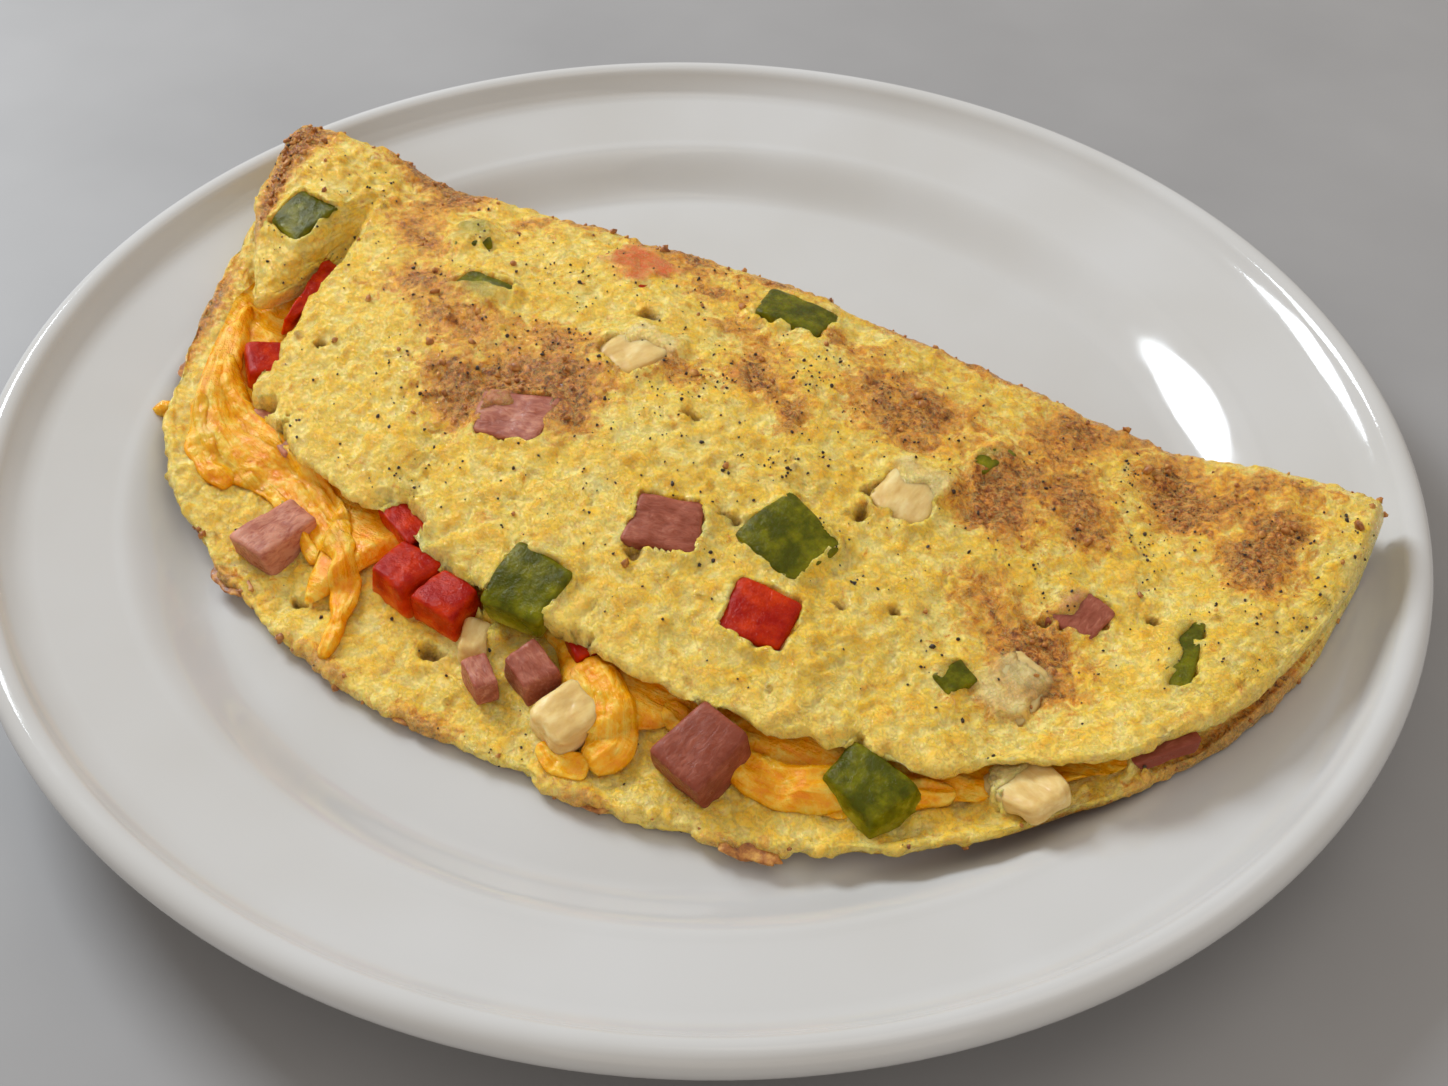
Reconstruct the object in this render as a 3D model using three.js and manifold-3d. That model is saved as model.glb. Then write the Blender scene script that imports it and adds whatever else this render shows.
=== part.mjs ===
// A folded omelette on its plate, in millimetres, +Z up.
//
// The origin is the centre of the plate's foot, on the surface it stands on. +X runs along the fold,
// +Y points to the folded side and -Y to the open side, where the filling shows.
// The egg is one sheet folded over: a section like a flat C is worked out at stations along the fold.
// Melted cheese fills the C, and diced ham, peppers and onion are set into the egg and the cheese.

import * as THREE from 'three';
import { mergeVertices } from 'three/addons/utils/BufferGeometryUtils.js';
import Module from 'manifold-3d';

const wasm = await Module();
wasm.setup();

// ---- Driving dimensions: the plate ----------------------------------------------------------------
const PLATE_RADIUS = 121;
const PLATE_SIDES = 40;
const LIP_ROLL = 2.7;               // radius of the rolled lip
const LIP_HEIGHT = 18.3;            // centre of the roll above the table
const WELL_RADIUS = 85.5;           // where the flat floor ends and the wall starts
const RIM_RADIUS = 99;              // where the wall meets the rim
const FLOOR_HEIGHT = 6.5;
const RIM_HEIGHT = 13.4;            // the rim at RIM_RADIUS
const RIM_SLOPE = 0.2375;
const PLATE_WALL = 4.2;
const RIM_WALL = 3.4;               // the plate thins towards its lip
const FOOT_OUTER = 68;
const FOOT_INNER = 60;
const FOOT_RECESS = 2;              // how far the underside stands above the table inside the foot

// ---- Driving dimensions: the egg ------------------------------------------------------------------
const HALF_LENGTH = 108.4;          // from the middle of the fold to a tip
const DEPTH = 109.5;                // from the fold to the front edge
const OUTLINE_POWER = [1.85, 2.28]; // left tip and the rest: 2 is an ellipse, more is squarer
const FOLD_Y = 36;                  // the back of the fold at its middle
const FOLD_BOW = 4;                 // how far the tips stand forward of it
const FOLD_REACH = 8;               // front to back of the round fold
const TIP_RISE = [12.5, 11.5];      // height of the fold at the left tip and the right
const FOLD_RISE = 21;               // and at its middle
const FALL_POWER = [3, 1.3];        // how it falls towards the left tip and the right
const LIP_RISE = [9, 13];           // height of the flap's edge at a tip and at the middle
const CROWN = 6;                    // how far the flap swells between the fold and its edge
const CROWN_POWER = 1.3;            // over 1 keeps the swelling off the fold and the edge
const SHEET = 5.5;                  // thickness of the egg
const SHEET_EDGE = 3;               // thickness at its free edges
const REACH_SHARE = 0.4;            // near a tip the fold takes no more than this share of the depth,
const SHEET_SHARE = 0.33;           // the egg is no thicker than this share of the fold's height
const EDGE_SHARE = 0.28;            // and its edges than this
const TIP_ROUND = 2.5;              // over this length a tip closes
const REST_GAP = 0.5;               // clearance between the egg and the plate
const DRAPE_RADIUS = 77;            // from here outwards the egg lifts off the floor to lie on the rim

const FLAP_SET_BACK = 22;           // how far the flap ends behind the front edge, on its left half
const FLAP_SHARE_RIGHT = 0.07;      // and what is left of that at the right tip
const FLAP_LEAST = 0.45;            // the flap always covers this share of the depth
const LIP_HUMPS = [                 // further set back: height, place along the fold, width
  [27, -80.5, 3.5],
  [5, -31, 4.5],
  [4.5, 56, 20],
];

// ---- Driving dimensions: the cheese ---------------------------------------------------------------
const CHEESE_HALF_LENGTH = 93;
const CHEESE_GAP = 0.6;             // clearance to the egg below it
const CHEESE_HEADROOM = 2.3;        // clearance to the flap above it
const CHEESE_LAYER = 2.9;           // the most it stands up in the open left end
const CHEESE_FULL = 20;             // further right it may fill the fold by this much more
const CHEESE_LEAST = 0.4;           // its thinnest
const CHEESE_ROUND = 5;             // over this depth its front edge rounds down
const CHEESE_INSET = 5;             // it never comes closer than this to the front edge
const CHEESE_BEHIND = 3;            // how far behind the flap's edge it ends where none flows out
const CHEESE_HUMPS = [              // how far it flows out: reach, place along the fold, width
  [18, -78, 17],
  [19, -38, 5],
  [12, 14, 10],
  [7, 50, 9],
];

const STATIONS = 38;                // sections along the fold
const CHEESE_STATIONS = 32;         // and along the cheese
const CUT_GAP = 0.3;                // clearance round a piece in its pocket

// ---- Small helpers --------------------------------------------------------------------------------
const clamp = (value, low, high) => Math.min(Math.max(value, low), high);
const mix = (from, to, share) => from + (to - from) * share;
const radians = (degrees) => THREE.MathUtils.degToRad(degrees);

// Even shares from 0 to 1.
const steps = (count) => Array.from({ length: count + 1 }, (_, i) => i / count);

// Rises smoothly from 0 at `from` to 1 at `to`.
function ramp(from, to, value) {
  const t = clamp((value - from) / (to - from), 0, 1);
  return t * t * (3 - 2 * t);
}

// A sum of bell shaped humps along the fold.
function humps(list, along) {
  return list.reduce((sum, [height, place, width]) => (
    sum + height * Math.exp(-(((along - place) / width) ** 2))), 0);
}

// ---- The plate ------------------------------------------------------------------------------------

// Height of the plate's upper face at a radius, without its rolled lip.
function plateTop(radius) {
  const wall = (RIM_HEIGHT - FLOOR_HEIGHT) * ramp(WELL_RADIUS, RIM_RADIUS, radius);
  const rim = RIM_SLOPE * Math.max(radius - RIM_RADIUS, 0);
  return FLOOR_HEIGHT + wall + rim;
}

// The roll at the lip, from its inner flank over the top to its underside.
function lipArc(count) {
  const centre = PLATE_RADIUS - LIP_ROLL;
  const from = radians(160);
  const to = radians(-110);
  return steps(count).map((share) => {
    const angle = mix(from, to, share);
    return [centre + LIP_ROLL * Math.cos(angle), LIP_HEIGHT + LIP_ROLL * Math.sin(angle)];
  });
}

// The plate's outline from the middle of its floor out to the lip and back underneath.
function plateProfile() {
  const wallSteps = 6;
  const rimEnd = PLATE_RADIUS - 2.6 * LIP_ROLL;
  const wall = steps(wallSteps).map((share) => mix(WELL_RADIUS, RIM_RADIUS, share));
  const upper = wall.map((radius) => [radius, plateTop(radius)]);
  const lower = steps(wallSteps / 2).map((share) => {
    const radius = mix(WELL_RADIUS, RIM_RADIUS, share);
    return [radius + 1, plateTop(radius) - PLATE_WALL];
  });
  const underRim = [rimEnd, plateTop(rimEnd) - RIM_WALL];
  const foot = [
    [FOOT_OUTER + 2, FLOOR_HEIGHT - PLATE_WALL],
    [FOOT_OUTER, 0],
    [FOOT_INNER, 0],
    [FOOT_INNER - 2, FOOT_RECESS],
  ];
  return [
    [0, FLOOR_HEIGHT],
    ...upper,
    [rimEnd, plateTop(rimEnd)],
    ...lipArc(8),
    underRim,
    ...lower.reverse(),
    ...foot,
    [0, FOOT_RECESS],
  ];
}

function plateGeometry() {
  const points = plateProfile().map(([radius, height]) => new THREE.Vector2(radius, height));
  const geometry = new THREE.LatheGeometry(points.reverse(), PLATE_SIDES);
  return geometry.rotateX(Math.PI / 2);
}

// ---- The omelette's surfaces ----------------------------------------------------------------------
// `along` is the distance along the fold from its middle, and `out` the distance from FOLD_Y towards
// the front edge, so a point stands at X = along and Y = FOLD_Y - out.

// Height of the egg's underside: it lies on the floor and bends gently over the wall and the rim.
function restHeight(along, out) {
  const radius = Math.hypot(along, FOLD_Y - out);
  const wall = (RIM_HEIGHT - FLOOR_HEIGHT) * ramp(DRAPE_RADIUS, RIM_RADIUS, radius);
  const rim = RIM_SLOPE * Math.max(radius - RIM_RADIUS, 0);
  return FLOOR_HEIGHT + REST_GAP + wall + rim;
}

const backEdge = (along) => FOLD_BOW * (along / HALF_LENGTH) ** 2;

function frontEdge(along) {
  const share = clamp(Math.abs(along) / HALF_LENGTH, 0, 1);
  const power = mix(...OUTLINE_POWER, ramp(-HALF_LENGTH, -75, along));
  return backEdge(along) + DEPTH * (1 - share ** power) ** (1 / power);
}

// The flap stops short of the front edge along the left half and nearly covers it on the right.
function plainLip(along) {
  const right = mix(1, FLAP_SHARE_RIGHT, ramp(-20, HALF_LENGTH, along));
  const tip = ramp(-HALF_LENGTH - 2, -90, along);
  return frontEdge(along) - FLAP_SET_BACK * right * tip;
}

function lipEdge(along) {
  const least = mix(backEdge(along), frontEdge(along), FLAP_LEAST);
  const set = plainLip(along) - humps(LIP_HUMPS, along);
  return Math.max(set, least * ramp(HALF_LENGTH, 0, Math.abs(along)));
}

// 1 along the omelette, falling to 0 in a round at each tip.
function tipClose(along) {
  const left = clamp((HALF_LENGTH - Math.abs(along)) / TIP_ROUND, 0, 1);
  return Math.sqrt(1 - (1 - left) ** 2);
}

// How full the omelette stands: 1 at the middle and 0 at the tips, more slowly to the left.
function fullness(along) {
  const share = clamp(Math.abs(along) / HALF_LENGTH, 0, 1);
  return 1 - share ** mix(...FALL_POWER, ramp(-10, 10, along));
}

const tipRise = (along) => mix(...TIP_RISE, ramp(-10, 10, along));
const foldRise = (along) => mix(tipRise(along), FOLD_RISE, fullness(along)) * tipClose(along);
const foldReach = (along) => Math.min(FOLD_REACH, REACH_SHARE * (lipEdge(along) - backEdge(along)));
const sheet = (along) => Math.min(SHEET, SHEET_SHARE * foldRise(along));
const sheetEdge = (along) => Math.min(SHEET_EDGE, EDGE_SHARE * foldRise(along));

// Height of the flap's upper face above the underside of the egg.
function flapRise(along, out) {
  const start = backEdge(along) + foldReach(along);
  const share = clamp((out - start) / (lipEdge(along) - start), 0, 1);
  const close = tipClose(along);
  const lip = mix(...LIP_RISE, fullness(along)) * close;
  const swell = CROWN * fullness(along) * close * Math.sin(Math.PI * share) ** CROWN_POWER;
  return mix(foldRise(along), lip, ramp(0, 1, share)) + swell;
}

// Thickness of the egg where `share` runs from 0 at the fold to 1 at a free edge.
const thickness = (along, share) => mix(sheet(along), sheetEdge(along), ramp(0.8, 1, share));

// ---- Solids swept through sections ----------------------------------------------------------------

// A closed solid from rings of [along, out, height] points, all of one length, with a single point
// at each end. Each ring goes forward along its underside and back along its upper side.
function ringSolid(first, rings, last) {
  const size = rings[0].length;
  const points = [first, ...rings.flat(), last];
  const positions = points.flatMap(([along, out, height]) => [along, FOLD_Y - out, height]);
  const faces = [];
  const at = (ring, i) => 1 + ring * size + (i % size);
  for (let i = 0; i < size; i += 1) {
    faces.push(0, at(0, i), at(0, i + 1));
    faces.push(points.length - 1, at(rings.length - 1, i + 1), at(rings.length - 1, i));
    for (let ring = 0; ring < rings.length - 1; ring += 1) {
      faces.push(at(ring, i), at(ring + 1, i), at(ring + 1, i + 1));
      faces.push(at(ring, i), at(ring + 1, i + 1), at(ring, i + 1));
    }
  }
  const geometry = new THREE.BufferGeometry();
  geometry.setAttribute('position', new THREE.Float32BufferAttribute(positions, 3));
  geometry.setIndex(faces);
  return geometry;
}

// Places along the fold, close together near the tips.
function stations(halfLength, count) {
  return steps(count).slice(1, -1).map((share) => -halfLength * Math.cos(Math.PI * share));
}

// ---- The egg --------------------------------------------------------------------------------------

// One section of the folded sheet: the outer face from the front edge, under, round the fold and over
// to the flap's edge, then the inner face back again.
function eggSection(along) {
  const start = backEdge(along) + foldReach(along);
  const front = frontEdge(along);
  const lip = lipEdge(along);
  const rise = foldRise(along);
  const thick = sheet(along);
  const edge = sheetEdge(along);
  const ring = [];
  const add = (out, height) => ring.push([along, out, restHeight(along, out) + height]);

  const underSteps = 5;
  const foldSteps = 4;
  const overSteps = 8;
  const roundFold = (step, inset) => {
    const angle = (Math.PI * step) / foldSteps;
    const half = rise / 2 - inset;
    const reach = Math.max(foldReach(along) - inset, 0.3 * foldReach(along));
    add(start - reach * Math.sin(angle), inset + half * (1 - Math.cos(angle)));
  };

  for (let i = 0; i < underSteps; i += 1) {
    add(mix(front - edge / 2, start, i / underSteps), 0);
  }
  for (let i = 0; i <= foldSteps; i += 1) {
    roundFold(i, 0);
  }
  for (let i = 1; i <= overSteps; i += 1) {
    const out = mix(start, lip - edge / 2, i / overSteps);
    add(out, flapRise(along, out));
  }
  const lipTop = flapRise(along, lip - edge / 2);
  add(lip, lipTop - edge * 0.3);
  add(lip, lipTop - edge * 0.75);
  for (let i = overSteps; i >= 1; i -= 1) {
    const out = mix(start, lip - edge / 2, i / overSteps);
    add(out, flapRise(along, out) - thickness(along, i / overSteps));
  }
  for (let i = foldSteps; i >= 0; i -= 1) {
    roundFold(i, thick);
  }
  for (let i = underSteps - 1; i >= 0; i -= 1) {
    const out = mix(front - edge / 2, start, i / underSteps);
    add(out, thickness(along, 1 - i / underSteps));
  }
  add(front, edge * 0.7);
  add(front, edge * 0.25);
  return ring.reverse();
}

function eggGeometry() {
  const tip = (along) => [along, backEdge(along) + 1, restHeight(along, backEdge(along) + 1) + 0.5];
  const rings = stations(HALF_LENGTH, STATIONS).map(eggSection);
  return ringSolid(tip(-HALF_LENGTH), rings, tip(HALF_LENGTH));
}

// ---- The cheese -----------------------------------------------------------------------------------

// Where the melted cheese ends towards the front.
function cheeseFront(along) {
  const flowed = plainLip(along) - CHEESE_BEHIND + humps(CHEESE_HUMPS, along);
  return Math.min(flowed, frontEdge(along) - CHEESE_INSET);
}

// Height of the cheese above the lower layer's upper face.
function cheeseHeight(along, out) {
  const lip = lipEdge(along) - SHEET_EDGE;
  const share = clamp((out - backEdge(along)) / (lip - backEdge(along)), 0, 1);
  const room = flapRise(along, Math.min(out, lip)) - thickness(along, share) - SHEET;
  const left = clamp((cheeseFront(along) - out) / CHEESE_ROUND, 0, 1);
  const round = Math.sqrt(1 - (1 - left) ** 2);
  const end = clamp((CHEESE_HALF_LENGTH - Math.abs(along)) / TIP_ROUND, 0, 1);
  const most = CHEESE_LAYER + CHEESE_FULL * ramp(-68, -45, along);
  const height = Math.max(Math.min(room - CHEESE_HEADROOM, most) * round, CHEESE_LEAST);
  return height * Math.sqrt(1 - (1 - end) ** 2);
}

// One section of the cheese: its underside towards the front, then its upper face back to the fold.
function cheeseSection(along) {
  const count = 7;
  const back = backEdge(along) + FOLD_REACH + 1;
  const front = cheeseFront(along);
  const ring = [];
  const bed = (out) => {
    const share = (out - back) / (frontEdge(along) - back);
    return restHeight(along, out) + thickness(along, clamp(share, 0, 1)) + CHEESE_GAP;
  };
  // The places crowd towards the front edge, where the upper face rounds down.
  const place = (i) => mix(back, front, Math.sin((Math.PI / 2) * (i / count)));
  for (let i = 0; i <= count; i += 1) {
    ring.push([along, place(i), bed(place(i))]);
  }
  for (let i = count - 1; i >= 0; i -= 1) {
    ring.push([along, place(i), bed(place(i)) + cheeseHeight(along, place(i))]);
  }
  return ring;
}

function cheeseGeometry() {
  const inner = CHEESE_HALF_LENGTH - 0.2;
  const rings = stations(inner, CHEESE_STATIONS).map(cheeseSection);
  const end = (side) => {
    const along = side * inner;
    const out = mix(backEdge(along) + FOLD_REACH, cheeseFront(along), 0.5);
    return [along, out, restHeight(along, out) + thickness(along, 0.5) + CHEESE_GAP + 0.3];
  };
  return ringSolid(end(-1), rings, end(1));
}

// ---- The diced filling ----------------------------------------------------------------------------
// Each piece lies on a bed: the flap's upper face or the lower layer's. `proud` is how far its face
// stands above that bed, `turn` is the angle of its length from +X, and `lean` tips its front edge
// down, both in degrees.
const HAM = { colour: 0xb9777a, roughness: 0.45, round: 0.1, bow: 0 };
const GREEN = { colour: 0x5f7a24, roughness: 0.3, round: 0.16, bow: 0.9 };
const RED = { colour: 0xb9321c, roughness: 0.25, round: 0.16, bow: 0.8 };
const ONION = { colour: 0xe6d6a4, roughness: 0.3, round: 0.34, bow: 0.5 };

const PIECES = [
  // name, food, bed, x, y, length, width, thickness, turn, proud, lean
  ['ham_1', HAM, 'flap', 9.5, -31, 11.5, 10.5, 6.2, 14, 0.5, 0],
  ['ham_2', HAM, 'flap', -24, -23, 12, 10, 6, 9, 0.3, 0],
  ['ham_3', HAM, 'flap', 72, -13, 8.5, 7.5, 5.5, 80, 0.3, 0],
  ['ham_4', HAM, 'base', -50.5, -54, 11.5, 8.5, 6, 78, 2.6, 0],
  ['ham_5', HAM, 'base', -4.5, -63, 6.5, 4, 4.5, -36, 2.4, 0],
  ['ham_6', HAM, 'base', 2, -58.5, 7.5, 6.2, 6, -27, 3.6, 6],
  ['ham_7', HAM, 'base', 32, -59.5, 11, 10.5, 9, 74, 5, 12],
  ['ham_8', HAM, 'base', -68.5, -34.5, 4.5, 4, 3.5, 10, 3.6, 0],
  ['ham_9', HAM, 'base', -60.5, -37, 5.5, 5, 4, -30, 3.8, 0],
  ['ham_10', HAM, 'base', 92.5, -31, 9, 6.5, 3, 42, 3, 10],
  ['green_pepper_1', GREEN, 'flap', 28, -25, 12, 10.5, 5.2, -20, 0.6, 0],
  ['green_pepper_2', GREEN, 'flap', -89.5, 5.5, 10.5, 9, 4.5, 78, 0.5, 0],
  ['green_pepper_3', GREEN, 'flap', -45.5, 0, 10, 7.5, 5, -11, 0.4, 0],
  ['green_pepper_4', GREEN, 'flap', 5, 23, 12.5, 9.5, 5, 0, 0.7, 0],
  ['green_pepper_5', GREEN, 'flap', 88.5, -14.5, 14.5, 4.5, 4.8, -82, 0.3, 0],
  ['green_pepper_6', GREEN, 'flap', 60, -33.5, 5, 4.5, 4, 60, 0.4, 0],
  ['green_pepper_7', GREEN, 'flap', 48.5, 8, 7, 3.5, 4, 67, 0.4, 0],
  ['green_pepper_8', GREEN, 'flap', -4.5, -49, 11.5, 10.5, 4.8, 86, 0.6, 10],
  ['green_pepper_9', GREEN, 'base', 55.5, -53, 12, 9, 5.5, -19, 3.4, 12],
  ['green_pepper_10', GREEN, 'flap', -57.5, 15, 9, 7, 4.5, -55, 0.2, 0],
  ['red_pepper_1', RED, 'flap', 30, -38.5, 11, 10, 5.2, 4, 0.5, 0],
  ['red_pepper_2', RED, 'flap', -25.5, 21.5, 13, 11, 4.8, -28, 0.2, 0],
  ['red_pepper_3', RED, 'base', -82, -5, 17, 6.5, 5, -82, 6.5, 0],
  ['red_pepper_4', RED, 'base', -77, -22.5, 9, 7.5, 6.5, 48, 5, 0],
  ['red_pepper_5', RED, 'base', -25.5, -52.5, 9.2, 8.5, 7, -12, 4.8, 0],
  ['red_pepper_6', RED, 'base', -16.6, -53.5, 8.2, 7.5, 6.5, -9, 4.4, 8],
  ['red_pepper_7', RED, 'base', 6.5, -51, 6, 5, 4.5, -33, 3.6, 0],
  ['red_pepper_8', RED, 'base', -31, -44.5, 8.5, 4.5, 4, -25, 5, 0],
  ['onion_1', ONION, 'flap', -13, -1, 12, 10.5, 5, 66, 0.4, 0],
  ['onion_2', ONION, 'flap', 40, -6.5, 13, 9.5, 5, 88, 0.4, 0],
  ['onion_3', ONION, 'flap', 68, -30, 11, 10, 4.5, 78, 0.3, 0],
  ['onion_4', ONION, 'base', 11, -62.5, 10.5, 9, 6, 72, 3.4, 0],
  ['onion_5', ONION, 'base', -9.6, -56.5, 7, 4.5, 4, -72, 1.4, 0],
  ['onion_6', ONION, 'base', 77, -44.5, 11.5, 9, 5, -33, 3, 8],
];

// A block on a 3 x 3 x 3 lattice, its corners and edges drawn in by `round` and its faces bowed up
// along the middle by `bow`.
function blockGeometry(length, width, thick, round, bow) {
  const geometry = new THREE.BoxGeometry(2, 2, 2, 2, 2, 2);
  const position = geometry.attributes.position;
  for (let i = 0; i < position.count; i += 1) {
    const x = position.getX(i);
    const y = position.getY(i);
    const z = position.getZ(i);
    const corner = Math.abs(x) + Math.abs(y) + Math.abs(z) - 1;
    const draw = 1 - (round * corner) / 2;
    const lift = bow * (1 - x * x) - bow / 2;
    position.setXYZ(
      i,
      x * (length / 2) * draw,
      y * (width / 2) * draw,
      z * (thick / 2) * draw + lift,
    );
  }
  return geometry;
}

// Height of a bed over a point of the plan.
function bedHeight(bed, x, y) {
  const out = FOLD_Y - y;
  return restHeight(x, out) + (bed === 'flap' ? flapRise(x, out) : SHEET);
}

// Where a piece stands: its face on the bed's slope, turned about the bed's normal and leant.
function piecePlace([, , bed, x, y, , , thick, turn, proud, lean]) {
  const step = 3;
  const slopeX = (bedHeight(bed, x + step, y) - bedHeight(bed, x - step, y)) / (2 * step);
  const slopeY = (bedHeight(bed, x, y + step) - bedHeight(bed, x, y - step)) / (2 * step);
  const up = new THREE.Vector3(0, 0, 1);
  const normal = new THREE.Vector3(-slopeX, -slopeY, 1).normalize();
  const tipped = new THREE.Quaternion().setFromAxisAngle(new THREE.Vector3(1, 0, 0), radians(lean));
  const turned = new THREE.Quaternion().setFromAxisAngle(up, radians(turn));
  const quaternion = new THREE.Quaternion().setFromUnitVectors(up, normal);
  quaternion.multiply(tipped).multiply(turned);
  const inward = up.clone().applyQuaternion(quaternion).multiplyScalar(proud - thick / 2);
  const position = new THREE.Vector3(x, y, bedHeight(bed, x, y)).add(inward);
  return new THREE.Matrix4().compose(position, quaternion, new THREE.Vector3(1, 1, 1));
}

function pieceGeometry(piece) {
  const [, food, , , , length, width, thick] = piece;
  const block = blockGeometry(length, width, thick, food.round, food.bow);
  return block.applyMatrix4(piecePlace(piece));
}

// ---- Cutting --------------------------------------------------------------------------------------

function toSolid(geometry) {
  const bare = geometry.clone();
  bare.deleteAttribute('normal');
  bare.deleteAttribute('uv');
  const merged = mergeVertices(bare, 1e-4);
  return new wasm.Manifold(new wasm.Mesh({
    numProp: 3,
    vertProperties: new Float32Array(merged.attributes.position.array),
    triVerts: new Uint32Array(merged.index.array),
  }));
}

function toGeometry(solid) {
  const mesh = solid.getMesh();
  const geometry = new THREE.BufferGeometry();
  geometry.setAttribute('position', new THREE.BufferAttribute(new Float32Array(mesh.vertProperties), 3));
  geometry.setIndex(new THREE.BufferAttribute(new Uint32Array(mesh.triVerts), 1));
  return geometry;
}

// A plain box that holds a piece with a little room all round.
function pocketGeometry(piece) {
  const [, food, , , , length, width, thick] = piece;
  const room = [length, width, thick + food.bow].map((size) => size + 2 * CUT_GAP);
  return new THREE.BoxGeometry(...room).applyMatrix4(piecePlace(piece));
}

// The body with a pocket cut for every piece. Crumbs that a cut sets free are dropped.
function withPockets(geometry) {
  const cut = PIECES.reduce((body, piece) => (
    body.subtract(toSolid(pocketGeometry(piece)))), toSolid(geometry));
  const bodies = cut.decompose();
  bodies.sort((one, other) => other.volume() - one.volume());
  return toGeometry(bodies[0]);
}

// ---- The model ------------------------------------------------------------------------------------

function makeMesh(name, geometry, colour, roughness) {
  const closed = mergeVertices(geometry, 1e-4);
  closed.deleteAttribute('normal');
  closed.computeVertexNormals();
  const material = new THREE.MeshStandardMaterial({ color: colour, roughness, metalness: 0 });
  const mesh = new THREE.Mesh(closed, material);
  mesh.name = name;
  return mesh;
}

const omelette = new THREE.Group();
omelette.add(makeMesh('plate', plateGeometry(), 0xe9e9ea, 0.12));
omelette.add(makeMesh('egg_sheet', withPockets(eggGeometry()), 0xecca58, 0.45));
omelette.add(makeMesh('cheese_filling', withPockets(cheeseGeometry()), 0xe8982a, 0.35));
PIECES.forEach((piece) => {
  const [name, food] = piece;
  omelette.add(makeMesh(name, pieceGeometry(piece), food.colour, food.roughness));
});

export default omelette;
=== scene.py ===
# %% [markdown]
# # A folded omelette on its plate
# The object is a half-moon omelette, folded over cheese and diced filling, on a white rimmed plate.
# The CAD part gives every piece its size and its place, and it stays the frame for everything here.
# This lesson keeps that frame and makes a finer surface for each part of it: the glazed plate, the
# curdled and browned egg, the melted cheese, the dice, and the pepper and crumbs strewn on top.

# %% Load the frame
import math

import bpy
import numpy as np
from mathutils import Matrix, Vector


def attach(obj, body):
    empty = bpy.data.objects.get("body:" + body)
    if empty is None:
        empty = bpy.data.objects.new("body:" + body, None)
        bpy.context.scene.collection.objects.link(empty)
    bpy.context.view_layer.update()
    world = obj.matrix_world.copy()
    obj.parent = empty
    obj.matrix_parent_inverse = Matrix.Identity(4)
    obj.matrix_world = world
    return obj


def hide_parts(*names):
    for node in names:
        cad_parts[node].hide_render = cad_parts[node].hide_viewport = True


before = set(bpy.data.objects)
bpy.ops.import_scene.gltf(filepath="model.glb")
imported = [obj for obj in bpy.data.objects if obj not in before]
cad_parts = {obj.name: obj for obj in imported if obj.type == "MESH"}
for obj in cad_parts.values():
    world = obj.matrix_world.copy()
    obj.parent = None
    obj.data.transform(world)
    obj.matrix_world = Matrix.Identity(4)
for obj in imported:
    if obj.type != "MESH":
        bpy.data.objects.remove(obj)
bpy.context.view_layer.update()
MM = 0.001

# %% [markdown]
# ## The camera, the floor and the light
# A plate of food is looked at from above and from one side, as by somebody sitting down to eat.
# The camera could be tracked onto a target, but building its three directions by hand also lets it
# roll a little, as a hand-held view does. The lens is a moderate 42 mm, so the near rim looks larger.

# %% Camera
VIEW_FROM = (102.2, -196.9, 210.1)      # mm, in the part's frame
VIEW_AZIMUTH, VIEW_DOWN, VIEW_ROLL = 26.41, 44.77, 2.6
LENS = 42.27


def view_matrix(place, azimuth, down, roll):
    """Looks along -Z of the camera: forward is the azimuth and dip, right is level, then both roll."""
    a, d, r = (math.radians(v) for v in (azimuth, down, roll))
    forward = Vector((-math.sin(a) * math.cos(d), math.cos(a) * math.cos(d), -math.sin(d)))
    level = forward.cross(Vector((0, 0, 1))).normalized()
    upward = level.cross(forward)
    right = level * math.cos(r) + upward * math.sin(r)
    up = right.cross(forward)
    turn = Matrix((right, up, -forward)).transposed().to_4x4()
    return Matrix.Translation(Vector(place) * MM) @ turn


camera = bpy.data.objects.new("camera", bpy.data.cameras.new("camera"))
bpy.context.scene.collection.objects.link(camera)
camera.data.lens = LENS
camera.data.sensor_width = 36
camera.data.clip_start = 0.01
camera.matrix_world = view_matrix(VIEW_FROM, VIEW_AZIMUTH, VIEW_DOWN, VIEW_ROLL)
bpy.context.scene.camera = camera
print("camera at", VIEW_FROM, "mm")

# %% [markdown]
# Materials are trees of shader nodes. They could be drawn by hand in the shader editor, but in code a
# few small helpers keep each finish readable: one makes a noise, one a colour ramp, one a mix, and
# one feeds a socket. Patterns read Object coordinates, so they stay on the piece wherever it goes.

# %% Material helpers
def linear(red, green, blue):
    """A display colour of 0 to 255 as linear light: a short straight toe, then a power of 2.4."""
    c = np.array([red, green, blue]) / 255
    out = np.where(c <= 0.04045, c / 12.92, ((c + 0.055) / 1.055) ** 2.4)
    return (*[float(v) for v in out], 1.0)


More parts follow.
